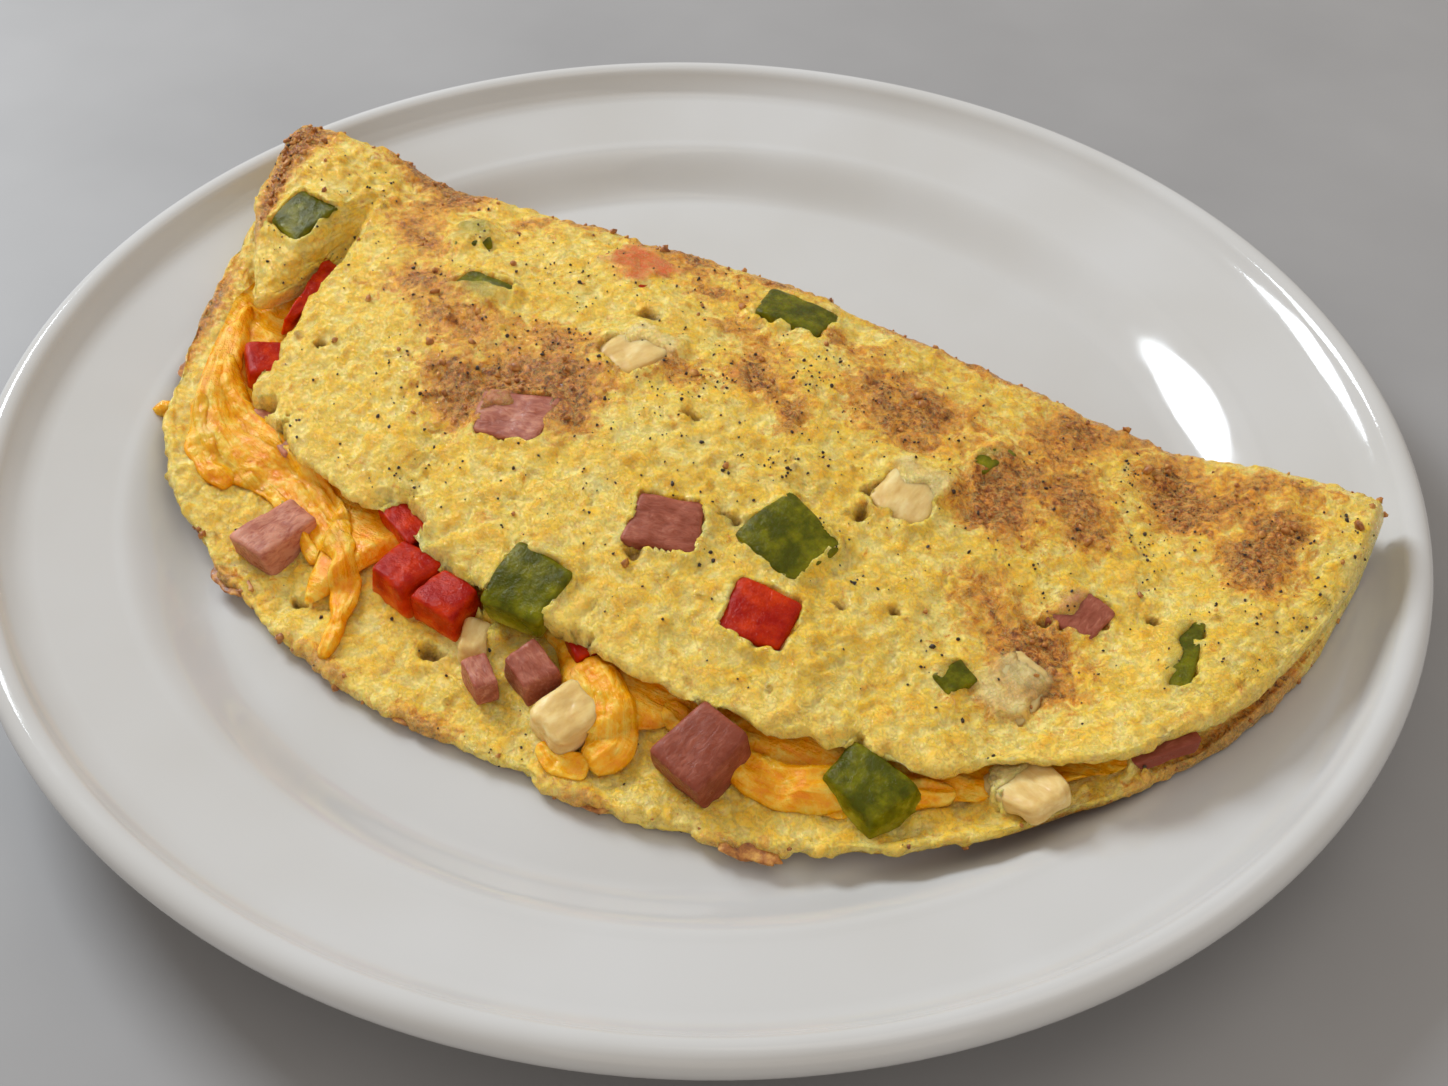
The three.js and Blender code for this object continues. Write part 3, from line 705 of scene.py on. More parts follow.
def film_over(name, local, half, points):
    """0 where the die is bare and 1 where egg covers it."""
    share, degrees = FILMED.get(name, (0.0, 0))
    if share >= 1:
        return np.ones(local.shape[:-1])
    direction = np.array([math.cos(math.radians(degrees)), math.sin(math.radians(degrees))])
    across = (local[..., :2] / half[:2]) @ direction
    edge = 1.3 - 2.6 * share
    return ramp(edge - 0.3, edge + 0.3, across + 0.5 * soft_noise(points, 3.0, 71)) * (share > 0)


print("dice under film:", len(FILMED))

# %% [markdown]
# Each die moves the egg in its own axes, where its face is simply one height. The points that are near
# that face get a new height there, mixed from the few cases by smooth shares, and go back to the frame.

# %% Pressing the egg round the dice
PRESS_DEPTH, PRESS_REACH = 3.2, 14     # how near a die the egg feels it, along its up and to its sides
FACE_DROP = 1.7                        # how far the egg drops below a bare face
MOST_TINT = 0.9


def stronger(tint, colour, strength):
    """The old colour and strength, or the new ones where they are stronger."""
    new = np.concatenate([np.broadcast_to(colour[:3], (*strength.shape, 3)), strength[..., None]], -1)
    return np.where((strength > tint[..., 3])[..., None], new, tint)


def pressed(grid, names):
    """Moves the egg near every die along the die's own up. Gives what shows through, and how bare, which the
    finish darkens as painted shade.

    Just outside the outline the egg meets the level of the face, inside it drops below the face or,
    under a film, passes over it, and here and there it laps over the edge.
    """
    tint = np.zeros((*grid.shape[:2], 4))
    bare = np.zeros(grid.shape[:2])
    faces_out = stretch_value(names, dict.fromkeys(("over", "lip", "bed", "front", "fold"), 1)) > 0
    for name, (centre, turn, half) in DICE.items():
        if name in UNDER_LIP and "over" in names:
            continue
        top = half[2]
        local = (grid - centre) @ turn.T
        beside = np.abs(local[..., :2]).max(-1) < PRESS_REACH
        near = (np.abs(local[..., 2] - top) < PRESS_DEPTH) & beside & faces_out
        points, here = grid[near], local[near]
        uneven = 0.6 * soft_noise(points, 2.6, 72) + 0.35 * soft_noise(points, 1.1, 73)
        share = FILMED.get(name, (0.0, 0))[0]
        away = outline_distance(here, half, 1.0 + 2.0 * share) + uneven * (1 + 1.3 * share)
        film = film_over(name, here, half, points)
        lap = ramp(-0.3, 0.5, soft_noise(points, 3.2, 77)) * np.exp(-((away + 0.2) / 0.8) ** 2)
        inside = ramp(0.25, -0.5, away + 0.55 * lap)
        rim = 0.3 * np.exp(-((away - 0.8) / 1.2) ** 2) * soft_noise(points, 2.2, 74)
        cover = top + 0.5 + 0.45 * soft_noise(points, 2.0, 75)
        level = top - 0.15 + 0.55 * soft_noise(points, 3.0, 79)
        meets = np.exp(-(np.maximum(away, 0) / 1.8) ** 2) * ramp(2.4, 1.6, np.abs(here[:, 2] - top))
        edge = mix(here[:, 2], level, meets) + rim
        edge = mix(edge, np.maximum(edge, top + 0.35), lap)
        height = mix(edge, mix(top - FACE_DROP, cover, film), inside)
        grid[near] = points + (height - here[:, 2])[:, None] * turn[2]
        opacity, colour = SHOWS_THROUGH[name.split("_")[0]]
        strength = film * ramp(0.7, -1.6, away) * (0.75 * opacity + 0.45 * soft_noise(points, 2.2, 76))
        tint[near] = stronger(tint[near], colour, strength)
        # bare is the egg sunk inside a bare die's outline; the finish paints shade there, in the gap round
        # the die.
        bare[near] = np.maximum(bare[near], inside * (1 - film))
    frayed = grid + 0.5 * soft_noise(grid, 1.5, 78)[..., None]
    for spot in YOLKY:
        tint = stronger(tint, YOLK_COLOUR, 0.9 * ramp(0.2, 0.7, ellipse(frayed, spot)) * faces_out)
    tint[..., 3] = np.clip(tint[..., 3], 0, MOST_TINT)
    return grid, tint, bare


print("the egg drops", FACE_DROP, "mm inside a bare die")

# %% [markdown]
# Holes tore open beside some dice, and the pan browned the egg in patches. Both are placed as
# soft ellipses: a place, two reaches, a turn and a strength. The lacy edge of the browning itself is
# left to the shader, which breaks the soft patches up with noise.

# %% Holes and browning
HOLES = [  # x, y, reach along, reach across, turn, depth
    (3, -11, 1.7, 0.9, 10, 2.2), (34.2, -10, 1.1, 1.3, 0, 2.6), (35.3, -14.2, 0.9, 1.5, 10, 2.6),
    (67.6, -17.3, 1.3, 0.8, 20, 2.4), (-16, 8, 2.6, 1.7, 15, 1.8), (18, -25.2, 1.9, 0.5, 0, 1.6),
    (47.5, -27.5, 1.1, 0.9, 0, 1.6), (-66, -20, 1.2, 0.8, 0, 1.4), (40, -30.5, 1.2, 0.6, 30, 1.2),
    (-15, -61, 2.0, 1.4, 0, 2.4), (-40, -62, 1.8, 0.9, 0, 1.8),
    (7.5, -37.5, 1.6, 1.2, 0, 1.4), (82, -9, 1.3, 0.8, 20, 1.4),
]
BROWNED_TOP = [  # x, y, reach along, reach across, turn, strength
    (-103, 24, 5, 7, 0, 1.0), (-100.5, 13, 2, 8, 10, 0.8), (-97.5, 3, 1.6, 7, 18, 0.7),
    (-78, 31, 8, 4, -5, 1.0), (-68, 26, 4, 5, -30, 0.9), (-50, 26, 6, 3, 40, 0.5),
    (-42, 32, 3, 3, 0, 0.8), (-24, 31, 8, 3, 0, 0.75), (-17, 26, 5, 4, 0, 0.6), (-9, 21, 5, 2.2, 10, 0.75),
    (-71, 15, 7, 4, -30, 0.6), (-63, 9, 5, 3, -20, 0.6), (-58, -1, 7, 3.5, 5, 0.85),
    (-45, -8, 9, 4, -5, 0.7), (-38, -20, 6, 4, -10, 0.85), (-29, -17, 4, 5, 0, 0.75),
    (-22, -13, 8, 5, 10, 1.0), (-16, -19, 4, 4, 0, 0.9), (-26, -4, 6, 3, 0, 0.7), (-33, -25, 6, 3, 0, 0.5),
    (-6, -2, 6, 3, -5, 0.7), (-2, 14, 3, 2.5, 0, 0.65), (6, 9, 4, 5, 0, 0.6), (8, 3, 6, 2.5, 0, 0.6),
    (16, 21, 6, 2, 0, 0.65), (17, -3, 2, 3, 20, 0.9), (25, 13, 6, 6, 0, 0.65), (36, 13, 6, 5, 0, 0.85),
    (33, 5, 8, 3, 0, 0.5), (12, 0, 5, 2, 0, 0.45), (51, 4, 4, 6, 10, 1.0), (53, -3, 6, 4, 0, 0.8),
    (62, 8, 6, 5, 0, 0.8), (68, 2, 4, 4, 0, 0.7), (56, 20, 6, 6, 0, 0.7), (60, 26, 6, 3, 0, 0.6),
    (75, 22, 5, 5, 0, 0.9), (79, 15, 4, 4, 0, 0.95), (86, 20, 4, 5, 0, 0.6), (95, 16, 4, 4, 0, 1.0),
    (92, 9, 5, 3, 0, 1.0), (94, 4, 4, 3, 0, 0.8), (93, 26, 7, 2.5, 0, 0.6), (57, -18, 4, 4, 0, 0.55),
    (68, -22, 6, 5, 0, 0.95), (71, -28, 5, 3, 0, 0.7), (66, -35, 5, 4, 0, 0.35), (24, 33, 9, 3, 0, 0.8),
    (42, 32, 7, 3, 0, 0.8), (68, 32, 8, 3, 0, 0.7), (0, 32, 5, 3, 0, 0.6), (-5, 30, 4, 2, 0, 0.5),
]
BROWNED_BED = [
    (-96, -15, 2.4, 8, 18, 1.0), (-92, -29, 2, 6, 22, 0.5), (-53, -66, 5, 2.6, -25, 0.9),
    (-9, -74, 5, 2.8, 0, 0.9), (46, -70, 8, 2.2, 12, 0.7), (97, -26, 2.6, 11, -32, 0.8),
    (102, -10, 2.2, 10, -12, 0.8), (20, -73, 5, 1.6, 0, 0.5), (-30, -71, 6, 1.8, -10, 0.6),
]


SPREAD, MOST_BROWNED = 1.2, 1.4


def torn(grid, names, deep):
    """Sinks the torn holes and gives how deep in a hole or pit each point is, which the finish darkens as
    painted shade.
    """
    faces_up = stretch_value(names, {"over": 1, "bed": 1, "lip": 1, "front": 1})
    for hole in HOLES:
        shape = ramp(0.25, 0.75, ellipse(swayed(grid, 0.7, 1.6, 81), hole)) * faces_up
        grid[..., 2] -= hole[5] * shape
        deep = np.maximum(deep, shape)
    return grid, deep


def browning(grid, names, spots):
    """The patches added up, each spread a little wider, and a steady browning underneath."""
    wider = [(x, y, along * SPREAD, across * SPREAD, turn) for x, y, along, across, turn, _ in spots]
    patches = sum(spot[5] * ellipse(grid, wide) for spot, wide in zip(spots, wider))
    return np.clip(np.maximum(patches, stretch_value(names, {"under": 0.75})), 0, MOST_BROWNED)


print("browned patches:", len(BROWNED_TOP) + len(BROWNED_BED))

# %% [markdown]
# The folded sheet is made as two closed skins that meet inside the fold, the flap and the layer that
# lies on the plate, because one mesh of both would be too heavy at this fineness. A fan closes each
# tip. The values go onto the mesh: how browned it is, how deep in creases or a hole, what shows
# through, where it thins towards its edge, and how far it lies inside a bare die. In the finish the
# creases, holes, pits and the egg inside a bare die become painted shade, and the ridges a painted highlight.

# %% Egg skins
THINS_FROM = 0.93        # share of the way from the fold to the lip


def skin(grid, names, spots):
    """The whole working over of one skin: curds, dice, holes and browning, in that order."""
    grid, crease, pits = curdled(grid, names)
    grid, tint, bare = pressed(grid, names)
    grid, deep = torn(grid, names, pits * 0.75)
    thin = stretch_value(names, {"lip": 1.0, "front": 0.8}) + 0 * bare
    over = np.flatnonzero(names == "over")
    thin[:, over] = ramp(THINS_FROM, 1.0, np.linspace(1, 0, len(over)))
    values = {"browned": browning(grid, names, spots), "crease": crease, "deep": deep, "thin": thin,
              "bare": bare, "tint": tint}
    return grid, {key: with_ends(array) for key, array in values.items()}


flap_names, bed_names = egg_parts[FLAP], egg_parts[~FLAP]
flap, flap_values = skin(egg[:, FLAP].copy(), flap_names, BROWNED_TOP)
bed, bed_values = skin(egg[:, ~FLAP].copy(), bed_names, BROWNED_BED)
print("flap:", flap.shape, "lower layer:", bed.shape)

# %% [markdown]
# Set egg is soft to light as well: a little of it enters, spreads and comes out warmer, so a small
# subsurface share keeps it from looking like painted clay. The colour is built in layers: yellow curds,
# a paler painted highlight on the ridges and a deeper yellow painted shade in the creases, then gold and
# brown where the pan caught it, and an uneven oily gloss. Holes, pits and the egg round a bare die get a
# darker painted shade.

# %% Egg finish
cooked = Finish("cooked_egg", Subsurface_Weight=0.45, Subsurface_Scale=0.002, IOR=1.42,
                Specular_IOR_Level=0.5)
cooked.shader.inputs["Subsurface Radius"].default_value = (1.0, 0.6, 0.16)
broad = cooked.noise(7, detail=4, rough=0.6)
small = cooked.noise(1.5, detail=4, rough=0.65, warp=0.5)
crumb = cooked.noise(0.9, detail=5, rough=0.75, warp=0.6)
mottle = cooked.both(broad, small, 0.5)
yellow = cooked.ramp(mottle, (0.32, (246, 192, 38)), (0.49, (253, 210, 78)), (0.66, (255, 229, 134)))
# Painted light in the colour: pale where crease is low is a painted highlight on the ridges, deeper yellow
# where it is high is painted shade in the creases.
crease = cooked.read("crease")
yellow = cooked.mix(cooked.between(crease, 0.3, 0.0, 0.0, 0.45), yellow, (255, 236, 158))
yellow = cooked.mix(cooked.between(crease, 0.35, 0.9, 0.0, 0.6), yellow, (244, 180, 24))
wisp = cooked.noise(1.9, detail=5, rough=0.68, warp=1.2)
wisp_line = cooked.between(cooked.calc("ABSOLUTE", cooked.calc("SUBTRACT", wisp, 0.5)), 0.0, 0.04, 1.0, 0.0)
lace = cooked.noise(2.8, detail=7, rough=0.78, warp=0.9)
browned = cooked.calc("MULTIPLY", cooked.read("browned"), 1.15)
toasted = cooked.calc("ADD", browned, cooked.swing(lace, 3.0))
crust = cooked.ramp(small, (0.36, (206, 124, 22)), (0.6, (240, 174, 56)))
dark_crust = cooked.ramp(crumb, (0.38, (92, 42, 6)), (0.5, (170, 96, 22)), (0.62, (226, 156, 66)))
colour = cooked.mix(cooked.between(toasted, 0.14, 0.55), yellow, crust)
colour = cooked.mix(cooked.between(toasted, 0.48, 1.0), colour, dark_crust)
colour = cooked.mix(cooked.read("tint", "Alpha"), colour, cooked.read("tint", "Color"))
colour = cooked.mix(cooked.calc("MULTIPLY", wisp_line, 0.4), colour, (255, 236, 148))
# Painted shade in the colour: deep darkens the holes and pits, and bare darkens the egg that sinks beside and
# under a bare die.
for stored, most, over in (("thin", 0.25, (250, 222, 130)), ("deep", 0.8, (120, 72, 12)),
                           ("bare", 0.5, (170, 110, 24))):
    colour = cooked.mix(cooked.calc("MULTIPLY", cooked.read(stored), most), colour, over)
cooked.set("Base Color", colour)
cooked.gloss(0.9, 0.09, 0.36, 0.35, 0.65)
grain = cooked.bump(cooked.noise(1.2, detail=5, rough=0.68), 0.7, 0.7)
ridges = cooked.bump(wisp_line, 0.3, 0.7, below=grain)
curds = cooked.bump(cooked.cells(1.2), 0.4, 0.6, below=ridges)
cooked.set("Normal", cooked.bump(cooked.noise(0.45, detail=3, rough=0.7), 0.22, 0.8, below=curds))
egg_flap = make_piece("egg_flap", *close_ring(flap), cooked.material, "egg", ["egg_sheet"], flap_values)
egg_bed = make_piece("egg_lower_layer", *close_ring(bed), cooked.material, "egg", ["egg_sheet"], bed_values)
print("egg pieces:", egg_flap.name, egg_bed.name)

# %% [markdown]
# ## The melted cheese
# Cheese fills the fold and comes out in front in tongues. Its section is simpler than the egg's: an
# underside, and an upper face that rounds down at the front. Melted shreds keep a soft grain, so the
# front wavers and the top carries long low ridges.

# %% Cheese shape
CHEESE_HALF_LENGTH, CHEESE_GAP, CHEESE_HEADROOM = 93.0, 0.3, 2.3
CHEESE_LAYER, CHEESE_FULL, CHEESE_LEAST, CHEESE_ROUND = 2.9, 20.0, 0.4, 5.0
CHEESE_INSET, CHEESE_BEHIND, CHEESE_OVERHANG = 5.0, 3.0, 0.2
CHEESE_STATIONS, CHEESE_ABOVE, CHEESE_BELOW = 260, 90, 12      # numbers of points
CHEESE_HUMPS = [(18, -78, 17), (19, -38, 5), (12, 14, 10), (7, 50, 9)]


def cheese_front(along):
    """Behind the lip, less where a tongue flows out, with a wavering edge."""
    waver = 1.3 * wander(along, 7, 15) + 0.7 * wander(along, 2.6, 16)
    flowed = plain_lip(along) - CHEESE_BEHIND + humps(CHEESE_HUMPS, along) + waver
    return np.minimum(flowed, front_edge(along) - CHEESE_INSET)


def cheese_height(along, out):
    """The room under the flap, capped by a layer, rounding down to nothing at the front edge."""
    lip = lip_edge(along) - SHEET_EDGE
    share = np.clip((out - back_edge(along)) / (lip - back_edge(along)), 0, 1)
    room = flap_rise(along, np.minimum(out, lip)) - thickness(along, share) - SHEET
    left = np.clip((cheese_front(along) - out) / CHEESE_ROUND, 0, 1)
    end = np.clip((CHEESE_HALF_LENGTH - np.abs(along)) / TIP_ROUND, 0, 1)
    most = CHEESE_LAYER + CHEESE_FULL * ramp(-68, -45, along)
    height = np.minimum(room - CHEESE_HEADROOM, most) * np.sqrt(1 - (1 - left) ** 2)
    return np.maximum(height, CHEESE_LEAST) * np.sqrt(1 - (1 - end) ** 2)


def bed_height(along, out):
    """The lower layer's upper face."""
    back = back_edge(along) + FOLD_REACH + 1
    share = np.clip((out - back) / (front_edge(along) - back), 0, 1)
    return rest_height(along, out) + thickness(along, share)


def cheese_grid():
    """The underside from back to front, then the upper face back again, closer together at the front."""
    along = np.linspace(-1, 1, CHEESE_STATIONS + 2)[1:-1, None] * (CHEESE_HALF_LENGTH - CHEESE_OVERHANG)
    back = back_edge(along) + FOLD_REACH + 1
    front = cheese_front(along)
    down = mix(back, front, np.sin(np.pi / 2 * np.linspace(0, 1, CHEESE_BELOW))[None])
    lower = in_space(along, down, bed_height(along, down) + CHEESE_GAP)
    up = mix(back, front, np.sin(np.pi / 2 * np.linspace(1, 0, CHEESE_ABOVE) ** 0.8)[None, 1:])
    upper_face = in_space(along, up, bed_height(along, up) + CHEESE_GAP + cheese_height(along, up))
    grid = np.concatenate([lower, upper_face], axis=1)
    grid[..., 1] = FOLD_Y - grid[..., 1]
    return grid, np.r_[np.zeros(lower.shape[1]), np.ones(upper_face.shape[1])]


cheese, cheese_upper = cheese_grid()
grainy = cheese * np.array([0.35, 1.0, 1.0])
melt = 0.8 * layered_noise(grainy, 4.5, 91, 2) + 0.35 * soft_noise(cheese, 2.0, 94)
near_tips = ramp(CHEESE_HALF_LENGTH, CHEESE_HALF_LENGTH - 4, np.abs(cheese[..., 0]))
cheese[..., 2] += melt * cheese_upper[None] * near_tips
cheese_points, cheese_faces = close_ring(cheese)
print("cheese:", cheese.shape)

# %% [markdown]
# Where the cheese ran out over the egg it lies as one soft mass of flows, with fine streaks along the
# way it ran. Each flow is given by a few points in plan with a half width. Its upper face is a dome
# laid over whatever is below it, and neighbouring flows overlap, so they fuse as melted shreds do.

# %% Cheese flows
FLOW_ROWS, FLOW_COLUMNS, MEAN_OF = 72, 25, 11
FLOWS = [  # height in mm, then points: x, y, half width
    (1.5, [(-89.5, -11, 1.0), (-87.5, -16, 1.6), (-84.6, -23, 2.2), (-80.8, -31, 3.2), (-76.5, -38, 4.6),
           (-70, -42, 5.0), (-63.5, -43, 4.6), (-57, -42.5, 4.0), (-51, -45, 3.8), (-45, -48.5, 3.8),
           (-39.5, -52, 3.4), (-36, -55, 2.4)]),
    (1.5, [(-42, -50, 2.4), (-37, -53.5, 2.6), (-33.6, -58, 2.1), (-31.3, -63, 1.6), (-29.8, -68, 1.5),
           (-29.2, -70.5, 1.7)]),
    (2.2, [(-84, -24, 1.2), (-76, -33, 2.2), (-66, -37, 2.6), (-57, -39, 2.2), (-48, -44, 2.2),
           (-40, -48.5, 2.2)]),
    (1.4, [(-80, -36, 1.4), (-75.5, -43, 2.2), (-70, -47, 2.8), (-64.5, -47.5, 2.2)]),
    (1.3, [(-66, -45, 1.6), (-57, -46.5, 1.3), (-49, -50.5, 1.4), (-41, -55.5, 1.4)]),
    (1.7, [(8, -54, 3.0), (13, -56.5, 4.2), (17, -60, 4.8), (19, -64, 4.2), (17, -68, 3.0)]),
    (0.7, [(9, -67.5, 1.6), (13, -69.5, 2.0), (18, -68, 2.2)]),
    (1.9, [(22, -55, 2.2), (29, -55.5, 2.2), (36, -57, 2.6), (41, -58.5, 3.6), (47, -57.5, 3.6),
           (53, -54, 3.2), (60, -50.5, 2.6), (68, -47, 2.0)]),
]


def smooth_path(corners):
    """The corners joined by straight lines, then each point is the mean of its neighbours."""
    corners = np.asarray(corners, float)
    length = np.r_[0, np.cumsum(np.hypot(*np.diff(corners[:, :2], axis=0).T))]
    at = np.linspace(0, length[-1], FLOW_ROWS)
    straight = np.stack([np.interp(at, length, column) for column in corners.T], -1)
    padded = np.pad(straight, ((MEAN_OF // 2, MEAN_OF // 2), (0, 0)), mode="edge")
    mean = np.ones(MEAN_OF) / MEAN_OF
    return np.stack([np.convolve(column, mean, mode="valid") for column in padded.T], -1), at


def joined(shells):
    """Several shells of points and faces as one."""
    points = np.concatenate([p for p, _ in shells])
    starts = np.cumsum([0] + [len(p) for p, _ in shells[:-1]]).tolist()
    return points, [[i + start for i in face] for (_, faces), start in zip(shells, starts) for face in faces]


print("flows of cheese:", len(FLOWS))

# %% [markdown]
# A flow's section is a half ellipse over a flat underside. It is swept along the path, narrows at both
# ends, and its noise is read along the run, so the streaks bend with it.

# %% Cheese flow shape
def cheese_flow(height, corners, seed):
    """Ground below + height * sqrt(1 - t squared) + streaks that are ten times longer than wide."""
    path, at = smooth_path(corners)
    ahead = np.gradient(path[:, :2], axis=0)
    ahead = ahead / np.linalg.norm(ahead, axis=1, keepdims=True)
    side = np.stack([-ahead[:, 1], ahead[:, 0]], -1)
    ends = np.sqrt(np.clip(1 - np.abs(np.linspace(-1, 1, len(path))) ** 10, 0.02, 1))
    t = np.cos(np.pi * np.linspace(0, 1, FLOW_COLUMNS))
    across = np.concatenate([t, -t[1:-1]])[None]
    upper = np.r_[np.ones(len(t)), np.zeros(len(t) - 2)][None]
    run = in_space(at[:, None], path[:, 2:] * across, 31.0 * seed)
    wide = (path[:, 2] * ends)[:, None] * (1 + 0.26 * layered_noise(run * [1, 0.2, 1], 3.4, seed, 2))
    plan = path[:, None, :2] + (wide * across)[..., None] * side[:, None]
    along, out = plan[..., 0], FOLD_Y - plan[..., 1]
    filling = np.where(out < cheese_front(along), cheese_height(along, out), 0)
    ground = bed_height(along, out) + CHEESE_GAP + filling
    fine_streaks = 0.3 * soft_noise(run * [0.1, 1, 1], 1.0, seed + 1)
    streaks = fine_streaks + 0.45 * soft_noise(run * [0.35, 1, 1], 2.3, seed + 2)
    lumps = 0.5 * layered_noise(in_space(plan[..., 0], plan[..., 1], 0), 2.6, 96, 3)
    top = ends[:, None] * np.sqrt(1 - across ** 2) * (0.85 * height + streaks + lumps)
    ring = in_space(plan[..., 0], plan[..., 1], ground + upper * top - 0.5 * (1 - upper))
    return close_ring(ring[::-1]), with_ends(run[::-1])


flows = [cheese_flow(*flow, 300 + 5 * k) for k, flow in enumerate(FLOWS)]
cheese_all, cheese_all_faces = joined([(cheese_points, cheese_faces)] + [shell for shell, _ in flows])
cheese_run = np.concatenate([cheese_points] + [run for _, run in flows])
print("cheese with its flows:", len(cheese_all), "points")

# %% [markdown]
# Melted cheddar is a deep yellow orange, glossy with its own fat, and a little clear at thin edges.
# Pale streaks follow each flow. Object coordinates can't bend with a flow, so the distance along it
# and across it was stored on the points as "run", and the streaks read that.

# %% Cheese finish
melted = Finish("melted_cheese", Subsurface_Weight=0.3, Subsurface_Scale=0.003, IOR=1.45,
                Specular_IOR_Level=0.4)
melted.shader.inputs["Subsurface Radius"].default_value = (1.0, 0.5, 0.06)
streak = melted.noise(1.2, detail=4, rough=0.6, warp=0.4,
                      place=melted.scaled(melted.read("run", "Vector"), (0.14, 1.0, 1.0)))
patch = melted.noise(2.4, detail=4, rough=0.65)
melted.set("Base Color", melted.ramp(melted.both(streak, patch, 0.45), (0.38, (248, 144, 0)),
                                     (0.5, (254, 173, 12)), (0.62, (255, 208, 84))))
melted.gloss(1.2, 0.08, 0.3)
fat = melted.bump(melted.noise(1.2, detail=4, rough=0.6), 0.6, 0.8)
melted.set("Normal", melted.bump(streak, 0.7, 0.7, below=fat))
cheese_piece = make_piece("cheese_melted", cheese_all, cheese_all_faces, melted.material, "cheese",
                          ["cheese_filling"], {"run": cheese_run * MM})
print("cheese piece:", cheese_piece.name)

# %% [markdown]
# ## The dice
# A die starts as a cube whose faces are fine grids, and every point is drawn in towards a rounded
# cube: the coordinates are divided by their own p-norm, where a high power p keeps sharp edges and a
# low one makes them round. Then it takes its real size, bows as a piece of pepper wall does, and gets
# the small unevenness that a knife leaves.

# %% Dice shapes
DIE_CELLS = 16         # along each edge of a face


def unit_cube(cells):
    """Points on the faces of a cube from -1 to 1, shared along its edges, and its outward faces."""
    line = np.linspace(-1, 1, cells + 1)
    p, q = np.meshgrid(line, line, indexing="ij")
    quads = grid_faces(cells + 1, cells + 1, False)
    points, faces = [], []
    for axis in range(3):
        for side in (-1, 1):
            face = np.empty((*p.shape, 3))
            face[..., axis] = side
            face[..., (axis + 1) % 3] = p
            face[..., (axis + 2) % 3] = q
            order = quads if side > 0 else quads[:, ::-1]
            faces.append(order + len(points) * p.size)
            points.append(face.reshape(-1, 3))
    points, shared = np.unique(np.round(np.concatenate(points), 6), axis=0, return_inverse=True)
    return points, shared.ravel()[np.concatenate(faces)]


CUBE_POINTS, CUBE_FACES = unit_cube(DIE_CELLS)


def die(half, power, bow, rough, seed, skew=0.13, taper=0.0):
    """Rounded by the p-norm, skewed, narrowed to one end, sized, bowed along its length and roughened."""
    norm = (np.abs(CUBE_POINTS) ** power).sum(1, keepdims=True) ** (1 / power)
    unit = CUBE_POINTS / norm
    shape = np.random.default_rng(seed).uniform(-1, 1, 6) * skew
    x = unit[:, 0] * (1 + shape[0] * unit[:, 1] + shape[1] * unit[:, 2])
    y = unit[:, 1] * (1 + shape[2] * unit[:, 0] + shape[3] * unit[:, 2])
    z = unit[:, 2] * (1 + 0.5 * shape[4] * unit[:, 0]) + bow * (1 - unit[:, 0] ** 2) - bow / 2
    narrow = 1 - taper * (unit[:, 0] + 1) / 2
    points = np.stack([x, y * narrow, z], -1) * half
    offset = points + 50.0 * seed
    outward = unit / np.linalg.norm(unit, axis=1, keepdims=True)
    uneven = layered_noise(offset, 2.4, 101, 3) * rough + 1.4 * rough * soft_noise(offset, 5.5, 105)
    return points + outward * uneven[:, None], unit


FOODS = {  # power of the rounding, bow, unevenness in mm
    "ham": (16, 0.0, 0.16), "green": (13, 0.14, 0.16), "red": (13, 0.1, 0.14), "onion": (5, 0.06, 0.3),
}
TAPERED = {"red_pepper_3": 0.75}       # how much a die narrows to one end; such a die is also rougher
TONES = {  # darker below 0 and paler above; the other dice take a random one
    "ham_7": -0.7, "ham_4": 0.6, "ham_10": -0.9, "ham_1": -0.3, "ham_8": 0.6, "ham_9": 0.5,
}
print("points on a die:", len(CUBE_POINTS))

# %% [markdown]
# Four foods need four finishes. Ham is matt and fibrous with paler strands. Pepper is a waxy skin over
# paler flesh, so its colour turns with the height inside the die. Onion is clear enough for light to
# pass well in, with the lines of its layers. A pattern on Object coordinates would run the same way
# through every die, so each carries its own coordinates as a stored value, and the grain turns with it.

# %% Dice finishes
def food_finish(name, soft, **sockets):
    """A finish that lets some light in and has the die's own coordinates at hand."""
    finish = Finish(name, Subsurface_Weight=soft, Subsurface_Scale=0.002, **sockets)
    finish.grain = finish.read("grain", "Vector")
    return finish


ham = food_finish("ham", 0.3, IOR=1.42, Specular_IOR_Level=0.22)
ham.shader.inputs["Subsurface Radius"].default_value = (1.0, 0.35, 0.25)
fibre = ham.noise(0.9, detail=5, rough=0.68, warp=0.8, place=ham.scaled(ham.grain, (0.4, 1.0, 1.0)))
blotch = ham.noise(3.2, detail=2, place=ham.grain)
ham_tone = ham.calc("ADD", ham.both(fibre, blotch, 0.6), ham.calc("MULTIPLY", ham.read("tone"), 0.18))
ham.set("Base Color", ham.ramp(ham_tone, (0.34, (134, 66, 46)), (0.5, (162, 92, 72)),
                               (0.68, (200, 138, 112))))
ham.gloss(1.2, 0.25, 0.55)
ham.set("Normal", ham.bump(fibre, 0.25, 0.6))


